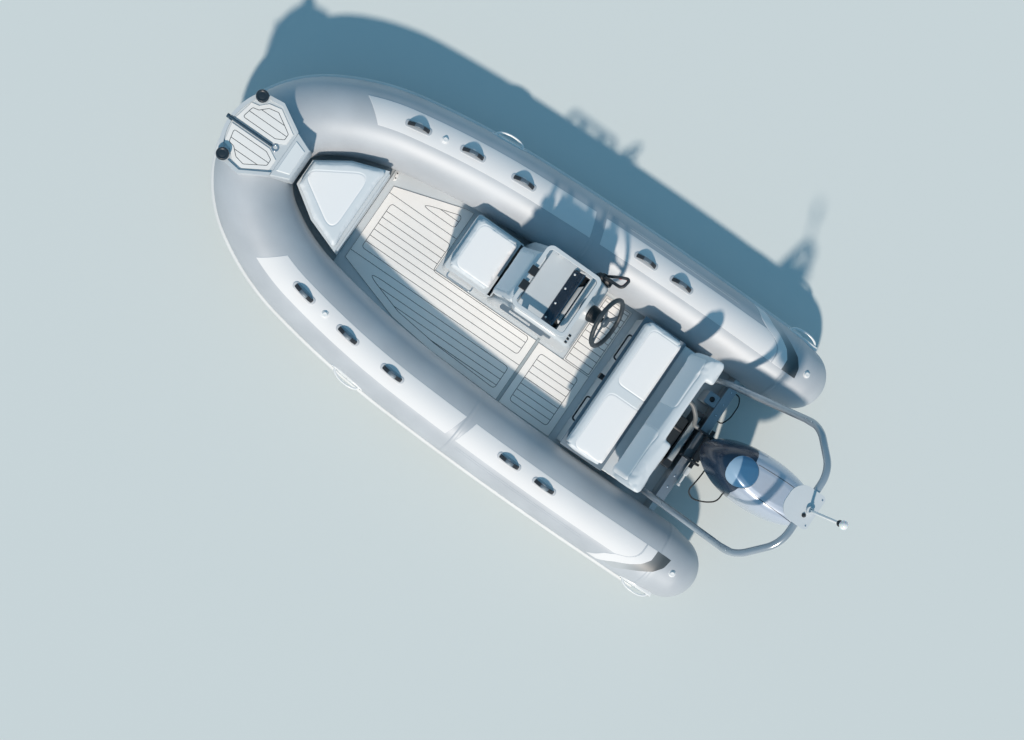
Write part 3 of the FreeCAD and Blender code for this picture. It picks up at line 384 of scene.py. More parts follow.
# columns: aft end, fore end and number of steps of each length of strip
STRIPS = [
    ([(STRIP_OUT, 1.512), (STRIP_IN, 1.466)], [(STRIP_OUT, 3.115), (STRIP_IN, 3.035)], 90),
    (STRIP_TAIL, [(STRIP_OUT, 1.430), (STRIP_IN, 1.384)], 70),
]
points, faces = [], []
for aft, fore, steps in STRIPS:
    skin_panel(points, faces, runs(aft), runs(fore), spread(STRIP_OUT, STRIP_IN, 14), STRIP_LIFT, steps)
placed(both_sides("wear_strips", points, faces, strip_cloth), "patch_white", node="wear_patches")


# Stern swooshes. A second white crescent follows the strip's tail across a narrow gap, and a
# charcoal one that fades out towards the tube's side follows that.
GAP = 0.012
# columns: turn, aft edge of the white crescent and aft edge of the charcoal one
SWOOSH = [(22.0, 0.175, 0.075), (34.0, 0.128, 0.035), (45.0, 0.083, -0.012), (58.0, -0.005, -0.092),
          (70.0, -0.070, -0.165), (84.0, -0.110, -0.212), (101.0, -0.113, -0.226)]
white_aft = runs([(turn, white) for turn, white, _ in SWOOSH])
white_fore = runs([(20.0, 0.272), (34.0, 0.225), (49.0, 0.185)] + STRIP_TAIL)
points, faces = [], []
turns = spread(22.0, STRIP_IN, 24)
skin_panel(points, faces, white_aft, lambda turn: white_fore(turn) - GAP, turns, STRIP_LIFT, 12)
placed(both_sides("stern_crescents", points, faces, strip_cloth), "patch_white")

band_cloth = fabric("band_cloth", (0.30, 0.33, 0.35), 0.42)
dark_aft = runs([(turn, dark) for turn, _, dark in SWOOSH])
points, faces = [], []
turns = spread(30.0, STRIP_IN, 24)
skin_panel(points, faces, dark_aft, lambda turn: white_aft(turn) - 0.001, turns, STRIP_LIFT * 0.8, 10)
bands = placed(both_sides("stern_swooshes", points, faces, band_cloth), "band_dark", node="stern_bands")
fade = bands.data.color_attributes.new("fade", "FLOAT_COLOR", "POINT")
for vertex, value in zip(bands.data.vertices, fade.data):
    high = min(1.0, max(0.0, ((vertex.co.z - STERN.z) / TUBE_R - 0.55) / 0.40))
    ahead = min(1.0, max(0.0, (0.02 - vertex.co.x) / 0.20))
    value.color = (1.0 - high * ahead ** 0.7,) * 3 + (1.0,)
_, add = shader_of(band_cloth)
overlaid(band_cloth, add("ShaderNodeVertexColor", layer_name="fade"), srgb(0.72, 0.745, 0.76))


# Rub rails. White extruded rubber glued along each tube's side, a flat flange with a proud
# rounded bead, from the cone to the stem.
# columns: height above the rail's middle and how far it stands off the cloth, in metres
RAIL_SECTION = [(-0.0225, 0.0003), (-0.0225, 0.0030), (-0.0135, 0.0042), (-0.0105, 0.0150), (-0.0060, 0.0190),
                (0.0, 0.0200), (0.0060, 0.0190), (0.0105, 0.0150), (0.0135, 0.0042), (0.0225, 0.0030),
                (0.0225, 0.0003)]


def stacked(parts):
    """Points and faces of closed solids, each a list of rings with a flat face over either end."""
    points, faces = [], []
    for rings in parts:
        start, count = len(points), len(rings[0])
        points += [p for ring in rings for p in ring]
        faces += grid_faces(len(rings), count, closed=True, start=start)
        faces += [tuple(range(start, start + count))[::-1], tuple(range(len(points) - count, len(points)))]
    return points, faces


rubber = fabric("rail_rubber", (0.865, 0.88, 0.885), 0.52, tone=0.03, relief=0.00005)
section = [(math.degrees(height / TUBE_R), TUBE_R + proud) for height, proud in reversed(RAIL_SECTION)]
rings = [[centre + outward(heading, turn) * radius for turn, radius in section] for centre, heading in LINE]
placed(both_sides("rub_rail_beads", *stacked([rings]), rubber), "rail_white", node="rub_rails")


# Seam tapes. Narrow bands of tube cloth glued over the joins, round each tube amidships and
# at the cone, and a pair of fine beads along the outboard shoulder.
points, faces = [], []
for x in (-0.146, 1.449):
    turns = [-60 + 5 * k for k in range(53)]
    skin_panel(points, faces, runs([(0, x - 0.014)]), runs([(0, x + 0.014)]), turns, 0.0007, 2)
for turn in (46.0, 50.0):
    skin_panel(points, faces, runs([(0, 0.36)]), runs([(0, 1.40)]), spread(turn, turn + 1.2, 3), 0.0011, 60)
placed(both_sides("seam_tapes", points, faces, tube_cloth), "tube_grey")


# Grab loops. Dark moulded loops stand on oval feet of tube cloth, five along the top of each
# tube, and a bright metallic band across the grip of each is a painted highlight.
# stations along the boat, in metres
LOOP_STATIONS = [2.793, 2.408, 2.026, 1.062, 0.775]
LOOP_TURN = 84.0
LOOP_LENGTH = 0.160
LOOP_HEIGHT = 0.046
LOOP_WIDTH = 0.026
LOOP_GRIP = 0.013
FOOT_LENGTH = 0.184
FOOT_WIDTH = 0.052
HIGHLIGHT_SHARE = 0.34
HIGHLIGHT_PROUD = 0.0012


def plastic(name, colour, roughness, metallic=0.0, tone=0.02, clear=0.0, relief=0.00004, **constants):
    """A hard moulded or painted surface: slight tone, an orange-peel skin and its own gloss."""
    gloss = {"Metallic": metallic, "Coat Weight": clear, "Coat Roughness": 0.12}
    return fabric(name, colour, roughness, tone, 900.0, relief, **gloss, **constants)


def tube_frame(x, turn):
    """Centre of the tube at a station, and the ways along it, across and out."""
    centre, heading = at_station(x)
    out = outward(heading, turn)
    return centre, heading, out.cross(heading), out


def swept(path, section, size=lambda share: 1.0):
    """Rings of a section, in (side, up) pairs, carried along a path of (point, side, up)."""
    return [[at + (side * u + up * v) * size(k / (len(path) - 1)) for u, v in section]
            for k, (at, side, up) in enumerate(path)]


def oblong(width, height, corner, steps=4):
    """A rounded rectangle as (u, v) pairs, anticlockwise."""
    made = []
    for cx, cy, first in ((1, 1, 0), (-1, 1, 90), (-1, -1, 180), (1, -1, 270)):
        for k in range(steps + 1):
            a = math.radians(first + 90 * k / steps)
            made.append((cx * (width / 2 - corner) + corner * math.cos(a),
                         cy * (height / 2 - corner) + corner * math.sin(a)))
    return made


def solid(name, parts, material, slot, body="root", node=None, both=False, smooth_ends=False):
    """A piece of closed solids, each a list of rings."""
    build = both_sides if both else mesh_piece
    made = recalculated(build(name, *stacked(parts), material))
    if not smooth_ends:
        made.data.polygons.foreach_set("use_smooth", [len(face.vertices) < 8 for face in made.data.polygons])
        made.data.update()
    return placed(made, slot, body, node)


def node_tree(name, **inputs):
    """A new geometry tree with named inputs: the inputs' sockets, and a way to add nodes."""
    tree = bpy.data.node_groups.new(name, "GeometryNodeTree")
    tree.interface.new_socket("Geometry", in_out="INPUT", socket_type="NodeSocketGeometry")
    for label, kind in inputs.items():
        tree.interface.new_socket(label, in_out="INPUT", socket_type="NodeSocket" + kind)
    tree.interface.new_socket("Geometry", in_out="OUTPUT", socket_type="NodeSocketGeometry")
    return tree.nodes.new("NodeGroupInput").outputs, adder(tree)


def end_tree(add, geometry, given):
    """Every tree ends in real geometry with its material set."""
    real = add("GeometryNodeRealizeInstances", {"Geometry": geometry})
    painted = add("GeometryNodeSetMaterial", {"Geometry": real, "Material": given["Material"]})
    return add("NodeGroupOutput", {"Geometry": painted}).id_data


def on_spots(add, given, instance, turned=None):
    """The tree's last step: one instance on each point that it is given."""
    feeds = {"Points": given["Geometry"], "Instance": instance}
    if turned:
        feeds["Rotation"] = turned
    return end_tree(add, add("GeometryNodeInstanceOnPoints", feeds), given)


def evaluated(piece):
    """Make what a piece's modifiers give its own mesh, and take the modifiers off."""
    graph = bpy.context.evaluated_depsgraph_get()
    piece.data = bpy.data.meshes.new_from_object(piece.evaluated_get(graph), depsgraph=graph)
    piece.modifiers.clear()


def grown(name, tree, points, slot, node=None, body="root", edges=(), swell=(), facing=(), heading=(),
          **inputs):
    """A piece that a tree makes from points, as a plain mesh with its faces outwards."""
    mesh = bpy.data.meshes.new(name)
    mesh.from_pydata([tuple(p) for p in points], list(edges), [])
    for label, vectors in (("facing", facing), ("heading", heading)):
        if vectors:
            values = mesh.attributes.new(label, "FLOAT_VECTOR", "POINT").data
            values.foreach_set("vector", [c for v in vectors for c in v])
    mesh.attributes.new("swell", "FLOAT", "POINT").data.foreach_set("value", swell or [1.0] * len(points))
    made = bpy.data.objects.new(name, mesh)
    scene.collection.objects.link(made)
    growth = made.modifiers.new("growth", "NODES")
    growth.node_group = tree
    for item in tree.interface.items_tree:
        if item.name in inputs:
            growth[item.identifier] = inputs[item.name]
    evaluated(made)
    for label in ("facing", "heading", "swell"):
        if label in made.data.attributes:
            made.data.attributes.remove(made.data.attributes[label])
    recalculated(made)
    made.data.polygons.foreach_set("use_smooth", [True] * len(made.data.polygons))
    made.data.set_sharp_from_angle(angle=math.radians(35))
    return placed(made, slot, body, node)


given, add = node_tree("bowed_loops", Radius="Float", Reach="Float", Drop="Float", Width="Float",
                       Grip="Float", Corner="Float", Material="Material")
start_angle = add("ShaderNodeMath", {0: math.pi / 2, 1: given["Reach"]}, operation="SUBTRACT")
whole_angle = add("ShaderNodeMath", {0: given["Reach"], 1: 2.0}, operation="MULTIPLY")
arc = add("GeometryNodeCurveArc", {"Resolution": 29, "Radius": given["Radius"], "Start Angle": start_angle,
                                   "Sweep Angle": whole_angle})
drop = add("ShaderNodeMath", {0: given["Drop"], 1: -1.0}, operation="MULTIPLY")
lowered = add("ShaderNodeCombineXYZ", {"Z": drop})
upright_arc = add("GeometryNodeTransform", {"Geometry": arc, "Translation": lowered,
                                            "Rotation": (math.pi / 2, 0.0, 0.0)})
oblong_line = add("GeometryNodeCurvePrimitiveQuadrilateral", {"Width": given["Width"],
                                                              "Height": given["Grip"]})
grip_line = add("GeometryNodeFilletCurve", {"Curve": oblong_line, "Count": 4, "Radius": given["Corner"]},
                mode="POLY")
loop = add("GeometryNodeCurveToMesh", {"Curve": upright_arc, "Profile Curve": grip_line, "Fill Caps": True})
spot_facing = add("GeometryNodeInputNamedAttribute", {"Name": "facing"}, data_type="FLOAT_VECTOR")
spot_heading = add("GeometryNodeInputNamedAttribute", {"Name": "heading"}, data_type="FLOAT_VECTOR")
stood = add("FunctionNodeAlignRotationToVector", {"Vector": spot_facing}, axis="Z")
laid = add("FunctionNodeAlignRotationToVector", {"Rotation": stood, "Vector": spot_heading}, axis="X",
           pivot_axis="Z")
loops_tree = on_spots(add, given, loop, laid)

spots, facings, headings, feet = [], [], [], []
outline = oblong(FOOT_LENGTH, FOOT_WIDTH, FOOT_WIDTH / 2 - 0.002, steps=8)
for station in LOOP_STATIONS:
    centre, along_tube, across, out = tube_frame(station, LOOP_TURN)
    foot = centre + out * (TUBE_R + 0.0020)
    spots.append(foot)
    facings.append(out)
    headings.append(along_tube)
    rings = []
    for inset_by, lift in ((0.0, -0.0002), (0.0, 0.0030), (0.0018, 0.0042), (0.006, 0.0044)):
        ring = []
        for u, v in outline:
            u -= math.copysign(min(abs(u), inset_by), u)
            v -= math.copysign(min(abs(v), inset_by), v)
            drop = TUBE_R - math.sqrt(TUBE_R ** 2 - v * v)
            ring.append(foot + along_tube * u + across * v + out * (lift - drop))
        rings.append(ring)
    feet.append(rings)
spots, facings, headings = mirrored(spots), mirrored(facings), mirrored(headings)
loop_plastic = plastic("loop_plastic", (0.20, 0.215, 0.235), 0.42)
# The light band over the middle of each grip is a painted highlight.
highlight_band_metal = plastic("painted_highlight_band", (0.45, 0.50, 0.54), 0.42, metallic=0.55)
arc_r = ((LOOP_LENGTH / 2) ** 2 + LOOP_HEIGHT ** 2) / (2 * LOOP_HEIGHT) - LOOP_GRIP / 2
arc_drop = arc_r - (LOOP_HEIGHT - LOOP_GRIP / 2)
reach = math.acos(min(1.0, (arc_drop + 0.004) / arc_r))
grown("grab_loops", loops_tree, spots, "handle_dark", "tube_handles", facing=facings, heading=headings,
      Radius=arc_r, Reach=reach, Drop=arc_drop, Width=LOOP_WIDTH, Grip=LOOP_GRIP, Corner=0.0045,
      Material=loop_plastic)
grown("grab_loop_highlight_bands", loops_tree, spots, "stainless", facing=facings, heading=headings, Radius=arc_r,
      Reach=HIGHLIGHT_SHARE * reach, Drop=arc_drop, Width=LOOP_WIDTH + HIGHLIGHT_PROUD, Grip=LOOP_GRIP + HIGHLIGHT_PROUD,
      Corner=0.005, Material=highlight_band_metal)
solid("grab_loop_feet", feet, tube_cloth, "tube_grey", both=True, smooth_ends=True)


# Carry handles. White lens-shaped plates are screwed to the tubes' sides, two a side, each
# with an arched grip and three dark screws.
# columns: station, how far the plate's back lies inside the straight tube's radius
CARRY_STATIONS = [(2.222, 0.006), (-0.168, 0.021)]
CARRY_TURN = 15.0
CARRY_LENGTH = 0.262
CARRY_WIDTH = 0.072
GRIP_RISE = 0.0385
GRIP_STEPS = 32

white_plastic = plastic("white_plastic", (0.93, 0.94, 0.945), 0.30, clear=0.2)
black_plastic = plastic("black_plastic", (0.12, 0.15, 0.175), 0.45)
lens = []
for k in range(64):
    a = 2 * math.pi * k / 64
    u, v = math.cos(a), math.sin(a)
    u, v = math.copysign(abs(u) ** 0.86, u), math.copysign(abs(v) ** 1.05, v)
    lens.append((CARRY_LENGTH / 2 * u, CARRY_WIDTH / 2 * v))
# columns: share of the plate's size, and height over the tube
PLATE_EDGE = [(1.0, 0.001), (0.985, 0.0035), (0.95, 0.0055), (0.80, 0.0062), (0.4, 0.0064)]
plates, screws, screw_facings = [], [], []
for station, sunk in CARRY_STATIONS:
    centre, along_tube, across, out = tube_frame(station, CARRY_TURN)
    foot = centre + out * TUBE_R
    rings = []
    for share, lift in [(1.0, -sunk)] + PLATE_EDGE:
        ring = [foot + along_tube * u * share + across * v * share + out * lift for u, v in lens]
        for at in ring if lift < 0 else ():
            spoke = at - at_station(at.x)[0]
            spoke -= along_tube * spoke.dot(along_tube)
            at += spoke.normalized() * (skin_radius(at.x) - spoke.length + 0.0004)
        rings.append(ring)
    grip = []
    for k in range(GRIP_STEPS + 1):
        s, ahead = -1 + 2 * k / GRIP_STEPS, -1 + 2 * (k + 0.01) / GRIP_STEPS
        rise = GRIP_RISE * (1 - s * s) ** 0.55
        slope = GRIP_RISE * max(0.0, 1 - ahead * ahead) ** 0.55 - rise
        tangent = (along_tube * (0.104 * 0.01 * 2 / GRIP_STEPS) + out * slope).normalized()
        if abs(s) == 1:
            tangent = out * -s
        grip.append((foot + along_tube * s * 0.100 + out * (0.0045 + rise), across, tangent.cross(across)))
    thicker_ends = lambda share: 1.0 + 0.25 * abs(2 * share - 1) ** 3
    plates += [rings, swept(grip, oblong(0.018, 0.013, 0.005), thicker_ends)]
    screws += [foot + along_tube * u + out * 0.0055 for u in (-0.116, 0.0, 0.116)]
    screw_facings += [out] * 3
solid("carry_plates", plates, white_plastic, "handle_white", node="carry_handles", both=True,
      smooth_ends=True)
given, add = node_tree("heads", Radius="Float", Height="Float", Taper="Float", Material="Material")
narrow = add("ShaderNodeMath", {0: given["Radius"], 1: given["Taper"]}, operation="MULTIPLY")
head = add("GeometryNodeMeshCone", {"Vertices": 20, "Radius Top": narrow, "Radius Bottom": given["Radius"],
                                    "Depth": given["Height"]})
head_facing = add("GeometryNodeInputNamedAttribute", {"Name": "facing"}, data_type="FLOAT_VECTOR")
head_turn = add("FunctionNodeAlignRotationToVector", {"Vector": head_facing}, axis="Z")
heads_tree = on_spots(add, given, head, head_turn)


def heads(name, spots, facings, radius, height, taper, material, slot):
    """A row of screw or bolt heads: their feet, which way each faces and how much its top narrows."""
    grown(name, heads_tree, spots, slot, facing=facings, Radius=radius, Height=height, Taper=taper,
          Material=material)


heads("carry_screws", mirrored(screws), mirrored(screw_facings), 0.0045, 0.0018, 0.75, black_plastic,
      "handle_dark")


# Air valves. White screw caps with a ring of finger ribs, in a round flange.
# columns: station and radius of the skin there
VALVE_SEATS = [(2.607, 0.2523), (-0.285, 0.2292)]
# columns: radius and height above the skin, from the hidden foot up and over the cap
VALVE_SHAPE = [(0.0235, -0.007), (0.0238, 0.0030), (0.0225, 0.0046), (0.0192, 0.0050), (0.0186, 0.0092),
               (0.0176, 0.0110), (0.0160, 0.0124), (0.0142, 0.0146), (0.0120, 0.0150), (0.0090, 0.0142),
               (0.0030, 0.0140)]
RIBBED_ROWS = (4, 5, 6)

valves = []
for station, radius in VALVE_SEATS:
    centre, along_tube, across, out = tube_frame(station, LOOP_TURN)
    rings = []
    for row, (r, lift) in enumerate(VALVE_SHAPE):
        ring = []
        for k in range(48):
            a = 2 * math.pi * k / 48
            reach = r * (0.94 if row in RIBBED_ROWS and k % 4 < 2 else 1.0)
            spoke = along_tube * math.cos(a) + across * math.sin(a)
            ring.append(centre + out * (radius + lift) + spoke * reach)
        rings.append(ring)
    valves.append(rings)
solid("valve_caps", valves, white_plastic, "handle_white", node="tube_valves", both=True, smooth_ends=True)


# Hull, transom and beam. Welded aluminium under a pale grey powder coat; the transom's top
# edge is capped by a bare folded beam that the engine clamps over.
def rounded_edges(piece, width, segments=3, angle=35):
    """Soft edges, as a modifier."""
    bevel = piece.modifiers.new("edges", "BEVEL")
    bevel.width = width
    bevel.segments = segments
    bevel.limit_method = "ANGLE"
    bevel.angle_limit = math.radians(angle)
    bevel.harden_normals = True


def dressed(node, material, width=0.0, segments=2):
    """Finish a solid as it stands: its paint, and softly broken edges."""
    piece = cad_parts[node]
    piece.data.materials.clear()
    piece.data.materials.append(material)
    weld = piece.modifiers.new("weld", "WELD")
    weld.merge_threshold = 0.00002
    if width:
        flat = piece.modifiers.new("flat", "DECIMATE")
        flat.decimate_type = "DISSOLVE"
        flat.angle_limit = math.radians(1.0)
        flat.delimit = {"NORMAL"}
        rounded_edges(piece, width, segments, 30)
    piece.data.polygons.foreach_set("use_smooth", [True] * len(piece.data.polygons))
    shading = piece.modifiers.new("shading", "WEIGHTED_NORMAL")
    shading.keep_sharp = True
    shading.weight = 100
    return piece


def two_tone(piece, second, rule):
    """Give the faces that pass the rule, at their middles, a second material."""
    piece.data.materials.append(second)
    for face in piece.data.polygons:
        if rule(face.center):
            face.material_index = 1
    piece.modifiers["flat"].delimit = {"NORMAL", "MATERIAL"}


hull_paint = plastic("hull_paint", (0.70, 0.73, 0.75), 0.36, metallic=0.25, tone=0.03)
beam_metal = plastic("beam_metal", (0.58, 0.62, 0.66), 0.30, metallic=0.75, tone=0.05)
dressed("hull", hull_paint, 0.004)
dressed("transom", hull_paint, 0.004)
dressed("transom_beam", beam_metal, 0.003)
dressed("stern_eyes", beam_metal, 0.002)
dressed("bow_eye", beam_metal, 0.002)


# Deck. A moulded floor in pale grey gel coat, glued down between the tubes.
gel_coat = plastic("gel_coat", (0.80, 0.83, 0.85), 0.34, tone=0.018, clear=0.15, relief=0.00006)
dressed("deck", gel_coat, 0.003)


# Deck covering. White brushed foam sheet, routed with fore-and-aft caulk lines and cut in
# lanes that each have a plain border. The dark caulk shows in every groove.
FOAM_TOP = 0.1463
FOAM_FOOT = 0.1412
CAULK_TOP = 0.1452
GROOVE = 0.0040
HALF_GROOVE = GROOVE / 2
PLANK = 0.049
BORDER = 0.050
EDGING = 0.008      # the border of a lane along the console
SEAM_X = 1.310
SEAM_HALF = 0.013
LANE_PORT = 0.227
LANE_STARBOARD = -0.240
COVER_AFT = 0.874
COVER_FORE = 2.720
# columns: x and half width of the covering's outer edge
COVER_EDGE = [(COVER_AFT, 0.5195), (SEAM_X, 0.514), (1.900, 0.486), (2.230, 0.446), (COVER_FORE, 0.290)]
CONSOLE_EDGE = 0.020
CONSOLE_AFT = 1.092
CONSOLE_FORE = 2.170


def side_lines(outline):
    """For each side of an anticlockwise outline, its inward normal and how far out it lies."""
    lines = []
    for (xa, ya), (xb, yb) in zip(outline, outline[1:] + outline[:1]):
        length = math.hypot(xb - xa, yb - ya)
        nx, ny = -(yb - ya) / length, (xb - xa) / length
        lines.append((nx, ny, nx * xa + ny * ya))
    return lines


def inset(outline, by):
    """A flat outline moved inwards by a distance, or by one for each side. Anticlockwise."""
    by = by if isinstance(by, list) else [by] * len(outline)
    lines = [(a, b, c + move) for (a, b, c), move in zip(side_lines(outline), by)]
    moved = []
    for k, (x, y) in enumerate(outline):
        (a, b, c), (d, e, f) = lines[k - 1], lines[k]
        det = a * e - b * d
        if abs(det) < 1e-9:
            shift = c - a * x - b * y
            moved.append((x + a * shift, y + b * shift))
        else:
            moved.append(((c * e - b * f) / det, (a * f - c * d) / det))
    return moved


def eased(outline, radius, steps=6):
    """The same outline with its corners rounded, by less where a side is short."""
    made = []
    for k, corner in enumerate(outline):
        here = Vector(corner)
        into, out = Vector(outline[k - 1]) - here, Vector(outline[(k + 1) % len(outline)]) - here
        half = into.angle(out, math.pi) / 2
        if half > math.radians(84):
            made.append(tuple(here))
            continue
        back = min(radius / math.tan(half), 0.46 * into.length, 0.46 * out.length)
        a, b = here + into.normalized() * back, here + out.normalized() * back
        for s in range(steps + 1):
            t = s / steps
            made.append(tuple(a * (1 - t) ** 2 + here * 2 * t * (1 - t) + b * t * t))
    return made


def clipped(outline, depth):
    """The part of a flat outline where depth(point) isn't negative."""
    kept = []
    for a, b in zip(outline[-1:] + outline[:-1], outline):
        if (depth(a) < 0) != (depth(b) < 0):
            t = depth(a) / (depth(a) - depth(b))
            kept.append((a[0] + (b[0] - a[0]) * t, a[1] + (b[1] - a[1]) * t))
        if depth(b) >= 0:
            kept.append(b)
    return kept


def without_doubles(outline, apart):
    return [p for k, p in enumerate(outline) if math.dist(p, outline[k - 1]) > apart]


def between(outline, low, high):
    """The part of a flat outline between two values of y."""
    kept = clipped(clipped(outline, lambda p: p[1] - low), lambda p: high - p[1])
    kept = without_doubles(kept, 1e-5)
    return kept if len(kept) > 2 else []


def area(outline):
    return sum(outline[k - 1][0] * p[1] - p[0] * outline[k - 1][1] for k, p in enumerate(outline)) / 2


def anticlockwise(outline):
    return outline if area(outline) > 0 else outline[::-1]


def slab(points, faces, loops, foot, top, chamfer=0.0007):
    """A flat piece with chamfered top edges: the first loop is its outline, the rest are holes."""
    flat, highest, lowest = [], [], []
    for number, loop in enumerate(loops):
        loop = anticlockwise(loop)
        start, count = len(points), len(loop)
        points += [Vector((x, y, foot)) for x, y in loop]
        points += [Vector((x, y, top - chamfer)) for x, y in loop]
        points += [Vector((x, y, top)) for x, y in inset(loop, -chamfer if number else chamfer)]
        walls = grid_faces(3, count, closed=True, start=start)
        faces += [quad[::-1] for quad in walls] if number else walls
        flat.append(points[start + 2 * count:])
        highest += range(start + 2 * count, start + 3 * count)
        lowest += range(start, start + count)
    for triangle in tessellate_polygon(flat):
        a, b, c = (points[highest[v]] for v in triangle)
        across = (b - a).cross(c - a)
        if across.z < 0:
            triangle = triangle[::-1]
        if across.length > 1e-12:
            faces += [tuple(highest[v] for v in triangle), tuple(lowest[v] for v in reversed(triangle))]


def drawn_in(outline, by):
    """An outline moved inwards; one without hollow corners also keeps to narrow ends."""
    def hollow(k):
        (xa, ya), (xb, yb), (xc, yc) = outline[k - 2], outline[k - 1], outline[k]
        return (xb - xa) * (yc - yb) - (yb - ya) * (xc - xb) < -1e-9
    if any(hollow(k) for k in range(len(outline))):
        return inset(outline, by)
    kept = outline
    for nx, ny, out in side_lines(outline):
        kept = clipped(kept, lambda p: nx * p[0] + ny * p[1] - out - by)
    return without_doubles(kept, 1e-4)


def planked(points, faces, lane, border, side, foot, top, corner):
    """A lane of covering: a plain border with rounded inner corners, and planks inside it that
    are laid from its low side up (side 1) or from its high side down (side -1)."""
    inner = eased(drawn_in(lane, border), corner)
    slab(points, faces, [lane, inner], foot, top)
    field = drawn_in(inner, GROOVE)
    low, high = min(y for _, y in field), max(y for _, y in field)
    lines = [k * PLANK for k in range(1, 30) if k * PLANK < high - low - 0.35 * PLANK]
    lines = sorted(low + line if side > 0 else high - line for line in lines)
    for start, end in zip([low - GROOVE] + lines, lines + [high + GROOVE]):
        plank = between(field, start + HALF_GROOVE, end - HALF_GROOVE)
        if plank and abs(area(plank)) > 0.0001:
            slab(points, faces, [plank], foot, top)


def cover_edge(start, end, low, high):
    """The covering between two stations and two lines along the boat, as a flat outline."""
    half = runs(COVER_EDGE)
    port = [(x, half(x)) for x in [start] + [x for x, _ in COVER_EDGE if start < x < end] + [end]]
    return between([(x, -y) for x, y in port] + port[::-1], low, high)


def foam_covering(name, under_name, lanes, levels, under_levels, draw_in, node):
    """Foam in lanes of (outline, border, side, inner corner), and dark caulk drawn in under it.
    The levels are foot and top, and the caulk's chamfer."""
    points, faces, under_points, under_faces = [], [], [], []
    for lane, border, side, corner in lanes:
        lane = anticlockwise(lane)
        planked(points, faces, lane, border, side, *levels, corner)
        slab(under_points, under_faces, [inset(lane, draw_in)], *under_levels)
    placed(mesh_piece(name, points, faces, deck_foam, smooth=False), "deck_foam", node=node)
    placed(mesh_piece(under_name, under_points, under_faces, caulk, smooth=False), "band_dark")


# Brushed closed-cell foam, with fine cross brush marks over a soft grey bloom.
deck_foam = fabric("deck_foam", (0.965, 0.965, 0.96), 0.72, tone=0.02, thread=5200.0, relief=0.00022)
_, add = shader_of(deck_foam)
turned_place = add("ShaderNodeMapping", {"Vector": add("ShaderNodeTexCoord", give="Object"),
                                         "Rotation": (0, 0, math.radians(52))})
brush = add("ShaderNodeTexWave", {"Vector": turned_place, "Scale": 95.0, "Distortion": 1.6, "Detail": 1.0},
            give="Fac")
overlaid(deck_foam, 1.0, add("ShaderNodeMapRange", {"Value": brush, "To Min": 0.93, "To Max": 1.0}),
         blend_type="MULTIPLY")
caulk = fabric("caulk", (0.27, 0.29, 0.31), 0.6)

aft_of, fore_of = SEAM_X - SEAM_HALF, SEAM_X + SEAM_HALF
lane_low, lane_high = LANE_STARBOARD + HALF_GROOVE, LANE_PORT - HALF_GROOVE
middle_lane = [(fore_of, CONSOLE_EDGE), (CONSOLE_FORE, CONSOLE_EDGE), (CONSOLE_FORE, lane_low),
               (COVER_FORE, lane_low), (COVER_FORE, lane_high), (fore_of, lane_high)]
fore_lanes = [
    (cover_edge(fore_of, COVER_FORE, LANE_PORT + HALF_GROOVE, 0.6), BORDER, 1, 0.028),
    (middle_lane, [EDGING, EDGING, BORDER, BORDER, BORDER, BORDER], -1, 0.028),
    (cover_edge(CONSOLE_FORE, COVER_FORE, -0.6, LANE_STARBOARD - HALF_GROOVE), BORDER, -1, 0.028),
]
aft_lanes = [
    (cover_edge(COVER_AFT, aft_of, CONSOLE_EDGE + HALF_GROOVE, 0.6), BORDER, 1, 0.028),
    (cover_edge(COVER_AFT, CONSOLE_AFT, -0.6, CONSOLE_EDGE - HALF_GROOVE), EDGING, -1, 0.004),
]
for word, lanes in (("forward", fore_lanes), ("aft", aft_lanes)):
    name = "deck_foam_" + word
    foam_covering(name, name + "_caulk", lanes, (FOAM_FOOT, FOAM_TOP),
                  (FOAM_FOOT - 0.0004, CAULK_TOP, 0.0003), 0.0004 - HALF_GROOVE, "deck_pad_" + word)


# Cross seam. A grey rubber strip lies between the forward and the aft covering.
points, faces = [], []
aft_of, fore_of = SEAM_X - 0.0105, SEAM_X + 0.0105
outline = [(aft_of, 0.0), (fore_of, 0.0), (fore_of, 0.513), (aft_of, 0.513)]
slab(points, faces, [outline], 0.1403, 0.1470, 0.0015)
strip_rubber = plastic("seam_rubber", (0.66, 0.70, 0.72), 0.5)
placed(mesh_piece("deck_seam_strip", points, faces, strip_rubber, smooth=False), "moulding_grey")


# Engine cowl. A glossy moulded cover, deep navy at the front and silver behind, with a round
# shallow dome across the join and two long shut lines over the silver part.
COWL_AFT, COWL_FORE = -0.690, 0.092
COWL_HALF = 0.190
# columns: height, how far the front and the back draw in, and share of the half width
COWL_LEVELS = [(0.700, 0.006, 0.004, 0.965), (0.720, 0.0, 0.0, 1.0), (0.860, 0.006, 0.004, 0.985),
               (0.980, 0.024, 0.018, 0.91), (1.060, 0.058, 0.046, 0.76), (1.100, 0.108, 0.092, 0.56),
               (1.112, 0.170, 0.160, 0.34)]
# columns: share of the length from the front, and share of the half width
COWL_PLAN = [(0.0, 0.0), (0.012, 0.19), (0.045, 0.38), (0.10, 0.57), (0.17, 0.73), (0.26, 0.87),
             (0.38, 0.965), (0.52, 1.0), (0.66, 0.975), (0.80, 0.87), (0.91, 0.68), (0.975, 0.42), (1.0, 0.0)]
COWL_RIM = 1.1117
CROWN_RISE = 0.0012
CROWN_RINGS = 14
DOME = (-0.112, 0.016, 0.100, 0.103)     # centre x and y, half length and half width
DOME_RISE = 0.007
DOME_STEP = 0.35    # share of the rise that comes at the dome's edge
DOME_FOOT = 0.95    # the dome and its paint lie above this height
SILVER_FROM = -0.150
ROUND_STEPS = 128


